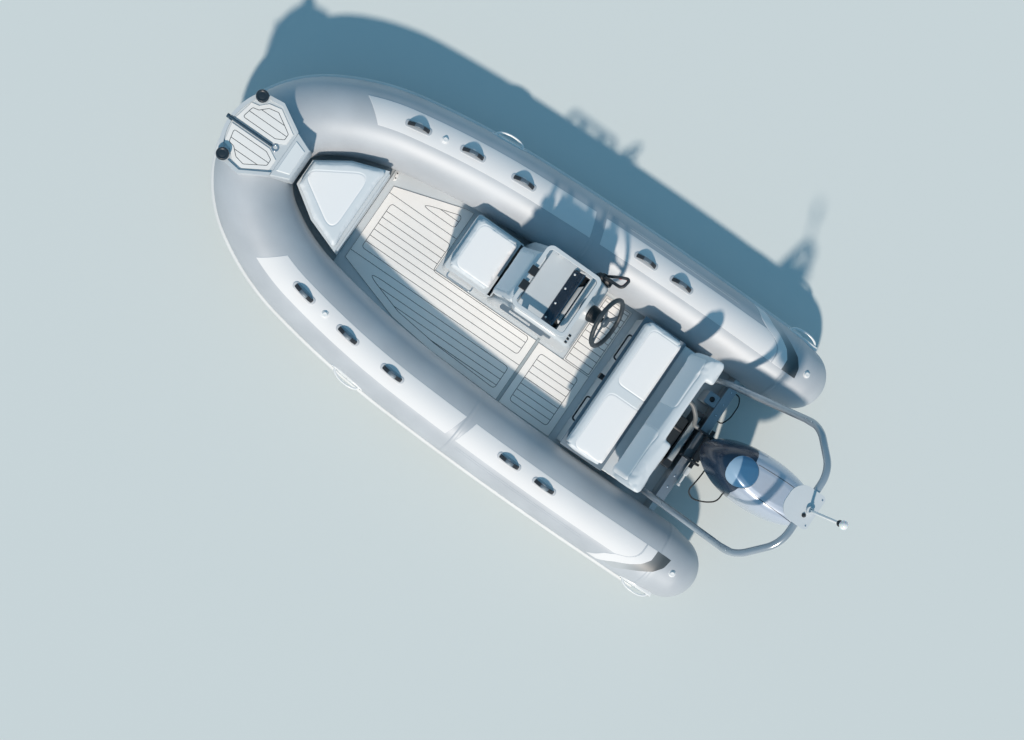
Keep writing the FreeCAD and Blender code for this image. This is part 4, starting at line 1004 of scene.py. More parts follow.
def smooth_row(rows, key):
    """A row of a table between its lines, on smooth curves."""
    for k in range(len(rows) - 1):
        if key <= rows[k + 1][0] or k == len(rows) - 2:
            break
    before, a, b, after = rows[max(k - 1, 0)], rows[k], rows[k + 1], rows[min(k + 2, len(rows) - 1)]
    span = b[0] - a[0]
    t = min(1.0, max(0.0, (key - a[0]) / span))
    made = []
    for c in range(1, len(a)):
        slope_a = (b[c] - before[c]) / (b[0] - before[0]) * span
        slope_b = (after[c] - a[c]) / (after[0] - a[0]) * span
        value = ((2 * t ** 3 - 3 * t * t + 1) * a[c] + (t ** 3 - 2 * t * t + t) * slope_a
                 + (3 * t * t - 2 * t ** 3) * b[c] + (t ** 3 - t * t) * slope_b)
        made.append(min(max(a[c], b[c]), max(min(a[c], b[c]), value)))
    return made


def plan_width(share):
    """Half width of the cowl's plan for a share of its length from the front, out of 1."""
    share = min(1.0, max(0.0, share))
    if share < 0.012:
        return 0.19 * math.sqrt(share / 0.012)
    if share > 0.975:
        return 0.42 * math.sqrt((1 - share) / 0.025)
    return smooth_row(COWL_PLAN, share)[0]


def cowl_ring(z, levels=COWL_LEVELS, grow=0.0):
    """A ring round the cowl at a height, its points closer together at the two ends."""
    front, back, wide = smooth_row(levels, z)
    fore, aft = COWL_FORE - front + grow, COWL_AFT + back - grow
    ring = []
    for k in range(ROUND_STEPS):
        turn = 2 * math.pi * k / ROUND_STEPS
        share = (1 - math.cos(turn)) / 2
        width = plan_width(share)
        y = COWL_HALF * wide * width + grow * min(1.0, 8 * width)
        ring.append(Vector((fore - (fore - aft) * share, y if turn <= math.pi else -y, z)))
    return ring


def cowl_top(x, y):
    """Height of the cowl's skin over a place in plan."""
    low, high = 0.72, 1.1119
    for _ in range(30):
        middle = (low + high) / 2
        front, back, wide = smooth_row(COWL_LEVELS, middle)
        fore, aft = COWL_FORE - front, COWL_AFT + back
        share = (fore - x) / (fore - aft)
        inside = 0 < share < 1 and COWL_HALF * wide * plan_width(share) > abs(y)
        low, high = (middle, high) if inside else (low, middle)
    return low


def from_dome(x, y):
    """How far a place in plan is from the dome's middle: 1 is its edge."""
    return math.hypot((x - DOME[0]) / DOME[2], (y - DOME[1]) / DOME[3])


heights = [0.7003, 0.706, 0.714] + [0.72 + 0.38 * k / 30 for k in range(31)]
rings = [cowl_ring(z) for z in heights + [1.1035, 1.107, 1.110, COWL_RIM]]
rim = rings[-1]
middle = sum(rim, Vector()) / ROUND_STEPS
for k in range(1, CROWN_RINGS):
    s = 1 - k / CROWN_RINGS
    height = COWL_RIM + CROWN_RISE * (1 - s * s)
    rings.append([Vector((middle.x + (p.x - middle.x) * s, p.y * s, height)) for p in rim])
points = sum(rings, []) + [Vector((middle.x, 0, 1.1131))]
for p in points:
    far = from_dome(p.x, p.y)
    if far < 1 and p.z > DOME_FOOT:
        p.z += DOME_RISE * (DOME_STEP * min(1.0, (1 - far) / 0.06) + (1 - DOME_STEP) * (1 - far * far))
faces = grid_faces(len(rings), ROUND_STEPS, closed=True)
last = (len(rings) - 1) * ROUND_STEPS
faces += [(last + k, last + (k + 1) % ROUND_STEPS, len(points) - 1) for k in range(ROUND_STEPS)]
faces.append(tuple(reversed(range(ROUND_STEPS))))

cowl_paint = plastic("cowl_paint", (0.085, 0.175, 0.27), 0.24, metallic=0.1, clear=0.35, relief=0.00001)
cowl = recalculated(mesh_piece("cowl_cover", points, faces, cowl_paint))
placed(cowl, "engine_navy", "engine_steered", "engine_cowl")
# Distances in metres into the silver, the dome and the dome's half with painted shade, each with 0.5 added.
paint_mask = cowl.data.color_attributes.new("paint", "FLOAT_COLOR", "POINT")
for vertex, value in zip(cowl.data.vertices, paint_mask.data):
    x, y, z = vertex.co
    silver_line = SILVER_FROM - 0.30 * max(0.0, 0.98 - z) - 0.15 * max(0.0, abs(y) - 0.10)
    dome = (1 - from_dome(x, y)) * DOME[2] if z > DOME_FOOT else -1.0
    # The dome's starboard-aft half, away from the sun, is darkened as painted shade.
    lee = 0.27 * (0.052 - y) - 0.95 * (x + 0.094)
    silver, painted_shade = min(silver_line - x, -dome), min(lee, dome)
    value.color = (0.5 + silver, max(0.0, 0.5 + dome), max(0.0, 0.5 + painted_shade), 1.0)
sockets, add = shader_of(cowl_paint)
paint_place = add("ShaderNodeVertexColor", layer_name="paint")
masks = add("ShaderNodeSeparateColor", {"Color": paint_place}).node.outputs


def past(mask, edge, low=0.0, high=1.0):
    """A value that goes from low to high where a distance passes its line."""
    return add("ShaderNodeMapRange", {"Value": masks[mask], "From Min": 0.5 - edge, "From Max": 0.5 + edge,
                                      "To Min": low, "To Max": high})


overlaid(cowl_paint, past("Red", 0.0006), srgb(0.76, 0.80, 0.86))
overlaid(cowl_paint, past("Green", 0.0006), srgb(0.60, 0.72, 0.82))
# Painted shade: a darker blue over the dome's half away from the sun.
overlaid(cowl_paint, past("Blue", 0.004), srgb(0.25, 0.44, 0.59))
feed(sockets["Metallic"], past("Red", 0.001, 0.10, 0.35))


# Cowl shut lines. Dark beads run along both sides of the silver cover, round the dome, and
# round the join above the lower pan.
given, add = node_tree("tube_on_line", Radius="Float", Sides="Int", Ring_Pitch="Float", Ring_Depth="Float",
                       Material="Material")
centre_line = add("GeometryNodeMeshToCurve", {"Mesh": given["Geometry"]})
gone = add("GeometryNodeSplineParameter", give="Length")
rings = add("ShaderNodeMath", {0: gone, 1: given["Ring_Pitch"]}, operation="DIVIDE")
phase = add("ShaderNodeMath", {0: rings, 1: 2 * math.pi}, operation="MULTIPLY")
wave = add("ShaderNodeMath", {0: phase}, operation="COSINE")
ribbed = add("ShaderNodeMath", {0: wave, 1: given["Ring_Depth"], 2: 1.0}, operation="MULTIPLY_ADD")
local = add("GeometryNodeInputNamedAttribute", {"Name": "swell"}, data_type="FLOAT")
share = add("ShaderNodeMath", {0: ribbed, 1: local}, operation="MULTIPLY")
swollen = add("GeometryNodeSetCurveRadius", {"Curve": centre_line, "Radius": share})
ring_line = add("GeometryNodeCurvePrimitiveCircle", {"Resolution": given["Sides"], "Radius": given["Radius"]})
tube = add("GeometryNodeCurveToMesh", {"Curve": swollen, "Profile Curve": ring_line, "Fill Caps": True})
tube_tree = end_tree(add, tube, given)


def piped(name, lines, radius, material, slot, node=None, body="root", sides=8, pitch=1.0, depth=0.0):
    """Tubes along lines, each with the share of the radius along it and whether it is closed."""
    points, edges, swell = [], [], []
    for line, size, closed in lines:
        start, count = len(points), len(line)
        points += line
        edges += [(start + k, start + (k + 1) % count) for k in range(count if closed else count - 1)]
        swell += size if isinstance(size, list) else [size] * count
    grown(name, tube_tree, points, slot, node, body, edges, swell, Radius=radius, Sides=sides,
          Ring_Pitch=pitch, Ring_Depth=depth, Material=material)


lines = []
for low_y, high_y in ((-0.078, -0.070), (0.094, 0.104)):
    line = []
    for k in range(41):
        t = k / 40
        x = -0.172 - 0.47 * t
        y = low_y + (high_y - low_y) * t if low_y > 0 else low_y - 0.01 * math.sin(math.pi * t)
        line.append(Vector((x, y, cowl_top(x, y) + 0.0004)))
    lines.append((line, 1.0, False))
ring = []
for k in range(72):
    a = 2 * math.pi * k / 72
    x, y = DOME[0] + DOME[2] * math.cos(a), DOME[1] + DOME[3] * math.sin(a)
    ring.append(Vector((x, y, cowl_top(x, y) - 0.0003)))
lines += [(ring, 0.63, True), (cowl_ring(0.703, grow=0.0004), 1.16, True)]
seam_paint = plastic("shut_line", (0.07, 0.10, 0.14), 0.35)
piped("cowl_shut_lines", lines, 0.0019, seam_paint, "engine_cast", body="engine_steered")


# Lower engine. The pan, leg, swivel, clamp and gearcase are castings under dark enamel; the
# propeller is painted too, and the tilt tube's ram is bright.
PAN_LEVELS = [(0.520, 0.150, 0.110, 0.52), (0.600, 0.060, 0.040, 0.78), (0.660, 0.024, 0.016, 0.90),
              (0.700, 0.010, 0.008, 0.95)]
pan_paint = plastic("pan_paint", (0.17, 0.24, 0.27), 0.3, metallic=0.1, clear=0.2)
cast_paint = plastic("cast_paint", (0.15, 0.18, 0.21), 0.38, metallic=0.2, tone=0.03, relief=0.0001)
blade_paint = plastic("blade_paint", (0.16, 0.17, 0.18), 0.28, metallic=0.4)
bright_metal = plastic("bright_metal", (0.78, 0.81, 0.84), 0.16, metallic=0.9, tone=0.04, relief=0.00001)
white_metal = plastic("white_metal", (0.88, 0.90, 0.91), 0.3, metallic=0.2)
heights = [0.5203] + [0.521 + 0.1785 * k / 18 for k in range(1, 19)]
solid("engine_lower_pan", [[cowl_ring(z, PAN_LEVELS, -0.0003) for z in heights]], pan_paint, "engine_grey",
      "engine_steered", "engine_pan", smooth_ends=True)
for node in ("engine_leg", "engine_gearcase", "engine_swivel", "engine_clamp"):
    dressed(node, cast_paint, 0.003)
dressed("propeller", blade_paint, 0.0015)
dressed("steering_ram", white_metal, 0.0015)


# Stern arch. Bent aluminium tube, clear anodised, in three lengths that plug together: two
# legs out of round feet on the deck, and a bow across the top, held by clamp collars.
ARCH_R = 0.023
# columns: x, y, z of the port leg's line, up to the top bar
ARCH_LINE = [(0.150, 0.452, 0.143), (0.131, 0.458, 0.470), (-0.309, 0.482, 1.247), (-0.450, 0.262, 1.432)]
ARCH_LINE += [(x, -y, z) for x, y, z in reversed(ARCH_LINE)]
# columns: where each collar starts and ends along the arch, and its radius
COLLARS = [(0.0, 0.010, 0.046), (0.010, 0.016, 0.030), (1.090, 1.185, 0.0256), (0.460, 0.500, 0.0262)]


def bent(corners, share=0.3, steps=14):
    """Points along straight runs joined by round bends."""
    corners = [Vector(p) for p in corners]
    line = [corners[0]]
    for before, corner, after in zip(corners, corners[1:], corners[2:]):
        reach = share * min((corner - before).length, (after - corner).length)
        into, out = (corner - before).normalized(), (after - corner).normalized()
        half = into.angle(out) / 2
        centre = corner + (out - into).normalized() * reach / math.tan(half) / math.cos(half)
        axis = into.cross(out).normalized()
        start = corner - into * reach - centre
        for k in range(steps + 1):
            line.append(centre + Matrix.Rotation(2 * half * k / steps, 3, axis) @ start)
    return line + [corners[-1]]


def tube_path(line):
    """Frames of (point, side, up) along a line that turn with it as little as they can."""
    path, side = [], None
    for k, p in enumerate(line):
        heading = (line[min(k + 1, len(line) - 1)] - line[max(k - 1, 0)]).normalized()
        if side is None:
            side = heading.cross(UP)
            side = side if side.length > 0.1 else heading.cross(Vector((0, 1, 0)))
        side = (side - heading * side.dot(heading)).normalized()
        path.append((p, side, side.cross(heading)))
    return path


def circle(radius, count):
    turns = [2 * math.pi * k / count for k in range(count)]
    return [(radius * math.cos(a), radius * math.sin(a)) for a in turns]


def length_of(line):
    return sum((b - a).length for a, b in zip(line, line[1:]))


def part_of(line, start, end):
    """The stretch of a line between two distances along it."""
    made, gone = [], 0.0
    for a, b in zip(line, line[1:]):
        length = (b - a).length
        for limit in (start, end):
            if gone <= limit <= gone + length and length > 0:
                made.append(a.lerp(b, (limit - gone) / length))
        if start < gone + length < end:
            made.append(b)
        gone += length
    return made


arch_line = bent(ARCH_LINE)
arch_length = length_of(arch_line)
lines = [(arch_line, 1.0, False)]
for flip in (False, True):
    for start, end, radius in COLLARS:
        if flip:
            start, end = arch_length - end, arch_length - start
        stretch = part_of(arch_line, start, end)
        a, b = stretch[0], stretch[-1]
        sizes = [radius / ARCH_R * share for share in (0.965, 1.0, 1.0, 0.965)]
        lines.append(([a, a.lerp(b, 0.04), b.lerp(a, 0.04), b], sizes, False))
arch_metal = plastic("arch_metal", (0.72, 0.755, 0.785), 0.24, metallic=0.55, tone=0.04, relief=0.00001)
piped("stern_arch", lines, ARCH_R, arch_metal, "arch_tube", node="arch", sides=32)
dressed("arch_plate", gel_coat, 0.002)


# Arch fittings. Pinch bolts in the collars, and two screws and a cable gland on the plate.
def turned(foot, axis, shape, count=24):
    """Rings of a turned solid: rows of (radius, height) up an axis from its foot."""
    axis = axis.normalized()
    side = axis.cross(UP)
    side = side.normalized() if side.length > 0.1 else axis.cross(Vector((0, 1, 0))).normalized()
    up = side.cross(axis)
    return [[foot + axis * height + side * u + up * v for u, v in circle(radius, count)]
            for radius, height in shape]


spots, facings = [Vector((-0.500, 0.092, 1.4651)), Vector((-0.500, -0.092, 1.4651))], [UP, UP]
for distance in (1.112, 1.163, 0.480):
    for at in (distance, arch_length - distance):
        spot = part_of(arch_line, at, at + 0.001)
        out = (spot[-1] - spot[0]).normalized().cross(Vector((0, 1, 0))).normalized()
        out = out if out.z > 0 else -out
        spots.append(spot[0] + out * 0.0248)
        facings.append(out)
heads("arch_bolts", spots, facings, 0.0055, 0.0044, 0.82, bright_metal, "stainless")
GLAND = [(0.013, 0.0), (0.013, 0.006), (0.009, 0.009), (0.006, 0.016), (0.004, 0.017)]
gland = turned(Vector((-0.455, 0.045, 1.4650)), UP, GLAND)
solid("arch_cable_gland", [gland], black_plastic, "black_plastic", smooth_ends=True)


# Light pole. A white tube on a folding knuckle, with a ribbed black collar under a white lamp.
PIVOT = Vector((-0.470, 0.0, 1.5003))
POLE_R = 0.009
GLOBE_R = 0.0252
GLOBE_Z = 0.500
# columns: radius and height of the ring round the globe's middle
GLOBE_RING = [(GLOBE_R, 0.4985), (0.0262, 0.4990), (0.0262, 0.5010), (GLOBE_R, 0.5015)]
knuckle = [(POLE_R * math.sin(math.pi * k / 16), -POLE_R * math.cos(math.pi * k / 16)) for k in range(1, 9)]
knuckle += [(POLE_R, 0.05), (0.0086, 0.44)]
collar = [(0.010, 0.430), (0.0125, 0.434), (0.0125, 0.440)]
for k in range(6):
    foot = 0.443 + 0.0055 * k
    collar += [(0.0195, foot), (0.0195, foot + 0.0028), (0.0178, foot + 0.0032), (0.0178, foot + 0.0052)]
collar += [(0.0195, 0.4765), (0.0150, 0.4800)]
turns = [math.pi * k / 24 for k in range(4, 24)]
globe = [(GLOBE_R * math.sin(a), GLOBE_Z - GLOBE_R * math.cos(a)) for a in turns]
globe = globe[:9] + GLOBE_RING + globe[10:] + [(0.0006, 0.5252)]
lamp = plastic("lamp_globe", (0.95, 0.955, 0.95), 0.18, clear=0.5, **{"Subsurface Weight": 0.3})
# columns: name, profile, points round it, material, slot and node
POLE_PARTS = [
    ("light_pole_tube", knuckle, 24, white_plastic, "lamp_white", "light_pole"),
    ("light_pole_collar", collar, 32, black_plastic, "black_plastic", None),
    ("light_pole_globe", globe, 40, lamp, "lamp_white", None),
]
for name, shape, count, material, slot, node in POLE_PARTS:
    solid(name, [turned(PIVOT, UP, shape, count)], material, slot, "light_pole", node, smooth_ends=True)


# Bow step. A moulded tray glued over the bow's seam, in pale gel coat, with a block behind it
# that holds the anchor and has its own hinged lid.
ANCHOR_LID_TOP = 0.7806
dressed("bow_step", gel_coat, 0.005, 3)
white_coat = plastic("white_coat", (0.90, 0.92, 0.93), 0.34, tone=0.012, clear=0.15, relief=0.00006)
two_tone(dressed("anchor_lid", gel_coat, 0.004, 3), white_coat, lambda c: c.z > ANCHOR_LID_TOP)
dressed("bow_locker", gel_coat, 0.004)
dressed("bow_lid", gel_coat, 0.003)


# Bow step covering. Two panels of the white foam, each with a border and short planks, cut
# hollow round the posts, and dark caulk in the grooves.
# columns: x and y of the port panel's outline
STEP_PAD = [(3.716, 0.022), (3.688, 0.150), (3.640, 0.160), (3.594, 0.205), (3.515, 0.222), (3.370, 0.132),
            (3.370, 0.060), (3.440, 0.022)]
lanes = [([(x, side * y) for x, y in STEP_PAD], 0.024, side, 0.016) for side in (1, -1)]
foam_covering("bow_step_foam", "bow_step_caulk", lanes, (0.7724, 0.7786), (0.7723, 0.7774, 0.0002), 0.0006,
              "bow_step_pads")


# Bow posts and bar. Ribbed dark mooring posts with dished caps stand on the tray's shoulders,
# and a slim bar with a cross tip lies between the panels, pinned by a shackle.
# columns: radius and height above the foot: each groove, and the cap over the grooves
POST_GROOVE = [(0.0280, 0.0030), (0.0262, 0.0040), (0.0262, 0.0070), (0.0280, 0.0080)]
POST_CAP = [(0.0350, 0.0255), (0.0402, 0.0275), (0.0412, 0.0310), (0.0405, 0.0360), (0.0380, 0.0410),
            (0.0345, 0.0450), (0.0318, 0.0460), (0.0296, 0.0452), (0.0270, 0.0418), (0.0215, 0.0404),
            (0.0190, 0.0414), (0.0060, 0.0418)]
POST_PITCH = 0.0055


def repeated(rows, count, pitch, narrowing=0.0):
    """A profile's rows over and over, each time a pitch further up and a little narrower."""
    return [(radius - narrowing * k, height + pitch * k) for k in range(count) for radius, height in rows]


shape = [(0.0275, 0.0), (0.0280, 0.0015)] + repeated(POST_GROOVE, 4, POST_PITCH) + POST_CAP
posts = [turned(Vector((3.649, side * 0.216, 0.7903)), UP, shape, 48) for side in (1, -1)]
post_rubber = plastic("post_rubber", (0.15, 0.20, 0.24), 0.36, tone=0.03)
solid("bow_posts", posts, post_rubber, "black_plastic", node="bow_bollards", smooth_ends=True)
dressed("bow_bar", plastic("bar_paint", (0.22, 0.32, 0.39), 0.34, metallic=0.3), 0.0015)
dressed("bow_shackle", bright_metal)


# Cushions. Each is sewn from coated cloth over firm foam: the solid is drawn in a little,
# meshed again and blown up as cloth, and it stays flat only underneath.
CLOTH_FRAMES = 20
CLOTH_PRESSURE = 4.0
SEAM_FAR = 0.05     # distances from a seam are kept up to this one
SEAM_BOX = 0.02


def round_corner(offset_x, offset_y):
    """A place in a square corner, measured from the corner's own centre, drawn onto a round one."""
    far = math.hypot(offset_x, offset_y)
    share = max(offset_x, offset_y) / far if min(offset_x, offset_y) > 0 else 1.0
    return offset_x * share, offset_y * share


def blown_up(blank, swell, foot):
    """Move a blank's points as a short cloth run under pressure moves them, by swell at most."""
    start = [v.co.copy() for v in blank.data.vertices]
    cloth = blank.modifiers.new("cloth", "CLOTH")
    cloth.settings.use_pressure = True
    cloth.settings.uniform_pressure_force = CLOTH_PRESSURE
    cloth.settings.effector_weights.gravity = 0.0
    cloth.point_cache.frame_start = 1
    cloth.point_cache.frame_end = CLOTH_FRAMES
    for number in range(1, CLOTH_FRAMES + 1):
        scene.frame_set(number)
    shown = blank.evaluated_get(bpy.context.evaluated_depsgraph_get())
    moved = [v.co.copy() for v in shown.data.vertices]
    blank.modifiers.clear()
    scene.frame_set(1)
    for v, was, now in zip(blank.data.vertices, start, moved):
        step = now - was
        v.co = was + (step * (swell / step.length) if step.length > swell else step)
        if foot is not None:
            v.co.z = max(v.co.z, foot)


def stuffed(name, node, voxel=0.006, draw_in=0.006, swell=0.014, foot=None, soften=0.012, corner=0.0,
            ends=None):
    """A padded copy of a solid, crowned by a short cloth run, at the origin. Its corners in plan are
    rounded by corner, where ends(z) gives its aft and fore side at a height, or by its box."""
    blank = bpy.data.objects.new(name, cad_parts[node].data.copy())
    scene.collection.objects.link(blank)
    vertices = recalculated(blank).data.vertices
    low = [min(v.co[k] for v in vertices) for k in range(3)]
    high = [max(v.co[k] for v in vertices) for k in range(3)]
    for v in vertices:
        for k in range(3):
            middle, half = (low[k] + high[k]) / 2, (high[k] - low[k]) / 2
            if foot is None or k < 2:
                v.co[k] = middle + (v.co[k] - middle) * (half - draw_in) / half
            else:
                v.co[k] = foot + (v.co[k] - low[k]) * (2 * half - draw_in) / (2 * half)
    rounded_edges(blank, soften)
    remesh = blank.modifiers.new("remesh", "REMESH")
    remesh.mode = "VOXEL"
    remesh.voxel_size = voxel
    evaluated(blank)
    for v in blank.data.vertices if corner else ():
        aft, fore = ends(v.co.z) if ends else (low[0], high[0])
        for radius, way, wall in ((corner, 1, fore), (corner / 2 if ends else corner, -1, aft)):
            for side, end in ((1, high[1]), (-1, low[1])):
                x, y = way * (v.co.x - wall) + radius, side * (v.co.y - end) + radius
                if x > 0 and y > 0:
                    x, y = round_corner(x, y)
                    v.co.x, v.co.y = wall + way * (x - radius), end + side * (y - radius)
    blown_up(blank, swell, foot)
    calm = blank.modifiers.new("calm", "SMOOTH")
    calm.factor = 0.5
    calm.iterations = 7
    finer = blank.modifiers.new("finer", "SUBSURF")
    finer.levels = finer.render_levels = 1
    evaluated(blank)
    blank.data.polygons.foreach_set("use_smooth", [True] * len(blank.data.polygons))
    return blank


def into_panel(x, y, edges):
    """How far a point lies from a panel's edge, negative inside it."""
    near, inside = 1.0, False
    for (xa, ya), (xb, yb) in edges:
        dx, dy = xb - xa, yb - ya
        t = min(1.0, max(0.0, ((x - xa) * dx + (y - ya) * dy) / (dx * dx + dy * dy + 1e-12)))
        near = min(near, (x - xa - t * dx) ** 2 + (y - ya - t * dy) ** 2)
        if (ya > y) != (yb > y) and x < xa + (y - ya) * dx / dy:
            inside = not inside
    return -math.sqrt(near) if inside else math.sqrt(near)


def sewn(piece, panels, flat, within, depth=0.0028, reach=0.0040):
    """Sew panels into a cushion: the distance to the nearest seam, kept for its cloth, and a valley
    there. flat(point) turns a point into the panels' plane, within(point, normal) tells the face."""
    seams = []
    for panel in panels:
        (left, low), (right, high) = (tuple(pick(p[k] for p in panel) for k in (0, 1)) for pick in (min, max))
        box = (left - SEAM_BOX, right + SEAM_BOX, low - SEAM_BOX, high + SEAM_BOX)
        seams.append((list(zip(panel[-1:] + panel[:-1], panel)), box))
    mesh = piece.data
    far = []
    for v in mesh.vertices:
        best = SEAM_FAR
        if within(v.co, v.normal):
            x, y = flat(v.co)
            for edges, (left, right, low, high) in seams:
                if left < x < right and low < y < high:
                    best = min(best, into_panel(x, y, edges))
        far.append(best)
    normals = [v.normal.copy() for v in mesh.vertices]
    for v, gap, normal in zip(mesh.vertices, far, normals):
        v.co -= normal * depth * math.exp(-(gap / reach) ** 2)
    mesh.attributes.new("seam", "FLOAT", "POINT").data.foreach_set("value", far)
    mesh.materials.clear()
    mesh.materials.append(vinyl)


vinyl = fabric("vinyl", (0.855, 0.885, 0.905), 0.46, tone=0.012, thread=4200.0, relief=0.00016)
_, add = shader_of(vinyl)
seam_far = add("ShaderNodeAttribute", give="Fac", attribute_name="seam")
within_panel = add("ShaderNodeMapRange", {"Value": seam_far, "From Min": -0.0012, "From Max": 0.0004,
                                          "To Min": 1.0, "To Max": 0.0})
overlaid(vinyl, within_panel, srgb(0.955, 0.962, 0.968))


def plan(p):
    return p.x, p.y


def elevation(p):
    return p.y, p.z


def faces_forward(_, normal):
    return normal.x > 0.3


def finished(piece, body, node):
    placed(piece, "vinyl_grey", body, node)


# Bow cushion. A wedge that fills the bow, with one pale panel let into its top.
bow_cushion = stuffed("bow_cushion_pad", "bow_cushion", foot=0.5350)
BOW_PANEL = [(2.852, 0.232), (2.852, -0.232), (3.222, 0.0)]
sewn(bow_cushion, [eased(BOW_PANEL, 0.062, 12)], plan, lambda p, _: p.z > 0.575)
finished(bow_cushion, "bow_lid", "bow_cushion")


# Seat ahead of the console. A cushion with its panel run out to the backrest, and the
# backrest's pad leaning on the console's front.
def box_outline(low_u, low_v, high_u, high_v):
    return [(low_u, low_v), (high_u, low_v), (high_u, high_v), (low_u, high_v)]


seat_cushion = stuffed("seat_cushion_pad", "seat_cushion", foot=0.5348, corner=0.045)
sewn(seat_cushion, [eased(box_outline(1.780, -0.388, 2.094, -0.055), 0.062)], plan, lambda p, _: p.z > 0.570)
finished(seat_cushion, "seat_lid", "seat_cushion")
console_pad = stuffed("console_backrest_pad", "console_backrest", voxel=0.005, draw_in=0.004, swell=0.008)
sewn(console_pad, [eased(box_outline(-0.370, 0.660, -0.080, 0.940), 0.05)], elevation, faces_forward)
finished(console_pad, "root", "console_backrest")


# Aft bench. One long cushion with two pale panels run out to its back, and a backrest with
# two panels on its front, cut away behind for the engine when it tilts.
bench_cushion = stuffed("bench_cushion_pad", "bench_cushion", foot=0.5148, corner=0.06)
panels = [eased(box_outline(0.500, y, 0.780, y + 0.430), 0.055) for y in (-0.458, 0.045)]
sewn(bench_cushion, panels, plan, lambda p, _: p.z > 0.565)
finished(bench_cushion, "bench_lid", "bench_cushion")
back_cushion = stuffed("backrest_pad", "backrest_cushion", swell=0.010, draw_in=0.005, soften=0.02,
                       corner=0.07, ends=lambda z: (0.376 - 0.331 * (z - 0.612), 0.492 - 0.336 * (z - 0.628)))
panels = [eased(box_outline(y, 0.640, y + 0.380, 0.868), 0.040) for y in (-0.460, 0.090)]
sewn(back_cushion, panels, elevation, faces_forward)
finished(back_cushion, "root", "backrest_cushion")


# Console. A raked moulding in pale gel coat with a grab hoop round its top, black jaws on the
# hoop's fore bar and a dark dash let into its top.
HOOP_JAWS_FROM = 1.0401
SCREEN_OUT = Vector((0.837, 0.0, 0.547))
DASH_OUT = Vector((-0.622, 0.0, 0.783))
DASH_UPHILL = Vector((0.783, 0.0, 0.622))


def raised(corners, way, height, chamfer=0.001):
    """Rings of a flat plate with broken edges: its foot's corners, and which way it rises."""
    corners = [Vector(c) for c in corners]
    way = way.normalized()
    middle = sum(corners, Vector()) / len(corners)
    return [corners, [c + way * (height - chamfer) for c in corners],
            [c + way * height + (middle - c).normalized() * chamfer * 1.4 for c in corners]]


def level(outline, z):
    return [(x, y, z) for x, y in outline]


dressed("console_body", gel_coat, 0.004)
two_tone(dressed("console_hoop", gel_coat, 0.003, 3), black_plastic, lambda c: c.z > HOOP_JAWS_FROM)
dressed("console_grab", plastic("grab_grey", (0.42, 0.48, 0.53), 0.42), 0.002)
screen_paint = plastic("tinted_screen", (0.10, 0.235, 0.34), 0.10, tone=0.01, clear=0.4, relief=0.000004,
                       **{"Transmission Weight": 0.35})
dressed("windscreen", screen_paint, 0.0012)
spots = [Vector((1.4462, y, 0.978)) - SCREEN_OUT * 0.003 for y in (-0.405, -0.300, -0.190, -0.085)]
heads("screen_bolts", spots, [SCREEN_OUT] * 4, 0.0085, 0.0072, 0.6, white_plastic, "lamp_white")
lines = []
for k in range(9):
    x, z = 1.4560 - 0.0060 * k, 0.9615 + 0.0092 * k
    lines.append(([Vector((x, -0.4270, z)), Vector((x, -0.0630, z))], 1.0, False))
piped("screen_ridges", lines, 0.0013, screen_paint, "tinted_screen")

plates = [raised(level(box_outline(1.3475, -0.4375, 1.4495, -0.0525), 0.9024), UP, 0.0040)]
for y, way in ((-0.4390, 1), (-0.0510, -1)):
    wall = [(x, y, z) for x, z in box_outline(1.3475, 0.9064, 1.4495, 0.9440)]
    plates.append(raised(wall, Vector((0, way, 0)), 0.0050))
solid("dash_lining", plates, black_plastic, "black_plastic")
strip = level([(1.3500, -0.3850), (1.3760, -0.3600), (1.3760, -0.1200), (1.3500, -0.0950)], 0.9066)
solid("dash_strip", [raised(strip, UP, 0.0160, 0.002)], gel_coat, "moulding_grey")
switches = []
for y in (-0.034, -0.058, -0.082):
    foot = Vector((1.2450, y, 0.8862))
    outline = box_outline(-0.011, -0.007, 0.011, 0.007)
    corners = [foot + DASH_UPHILL * u + Vector((0, v, 0)) for u, v in outline]
    switches.append(raised(corners, DASH_OUT, 0.0045))
solid("dash_switches", switches, black_plastic, "black_plastic")


# Helm. A pale dome carries a ribbed black boss and the steel shaft of the wheel.
WHEEL_C = Vector((1.108, -0.272, 0.985))
RAKE = math.radians(28)
AXLE = Vector((-math.cos(RAKE), 0.0, math.sin(RAKE)))
# columns: radius and height along the shaft from the wheel's centre
HELM_DOME = [(0.0700, -0.178), (0.0690, -0.168), (0.0660, -0.156), (0.0615, -0.144), (0.0565, -0.134),
             (0.0520, -0.128), (0.0500, -0.127)]
BOSS_RIB = [(0.0565, -0.1190), (0.0565, -0.1138), (0.0525, -0.1128), (0.0525, -0.1110)]
BOSS_TOP = [(0.0450, -0.0640), (0.0420, -0.0600), (0.0180, -0.0590), (0.0170, -0.0560), (0.0160, -0.0245)]
boss = [(0.0560, -0.1290), (0.0570, -0.1200)] + repeated(BOSS_RIB, 6, 0.0088, 0.0018) + BOSS_TOP
solid("helm_dome", [turned(WHEEL_C, AXLE, HELM_DOME, 48)], gel_coat, "moulding_grey", node="helm")
solid("helm_boss", [turned(WHEEL_C, AXLE, boss, 48)], black_plastic, "black_plastic")


# Steering wheel. A dark padded rim with finger swells, three webbed spokes and a flat cap.
LOCAL_UP = Vector((math.sin(RAKE), 0.0, math.cos(RAKE)))
RIM_MIDDLE = 0.163
RIM_STEPS = 120
RIM_SIDES = 16
SPOKE_FROM, SPOKE_TO = 0.026, 0.158
# columns: share of the spoke's half width, and height above its middle
SPOKE_SECTION = [(-1, -0.0035), (-0.4, -0.0055), (0.4, -0.0055), (1, -0.0035), (1, 0.0015), (0.45, 0.0035),
                 (-0.45, 0.0035), (-1, 0.0015)]
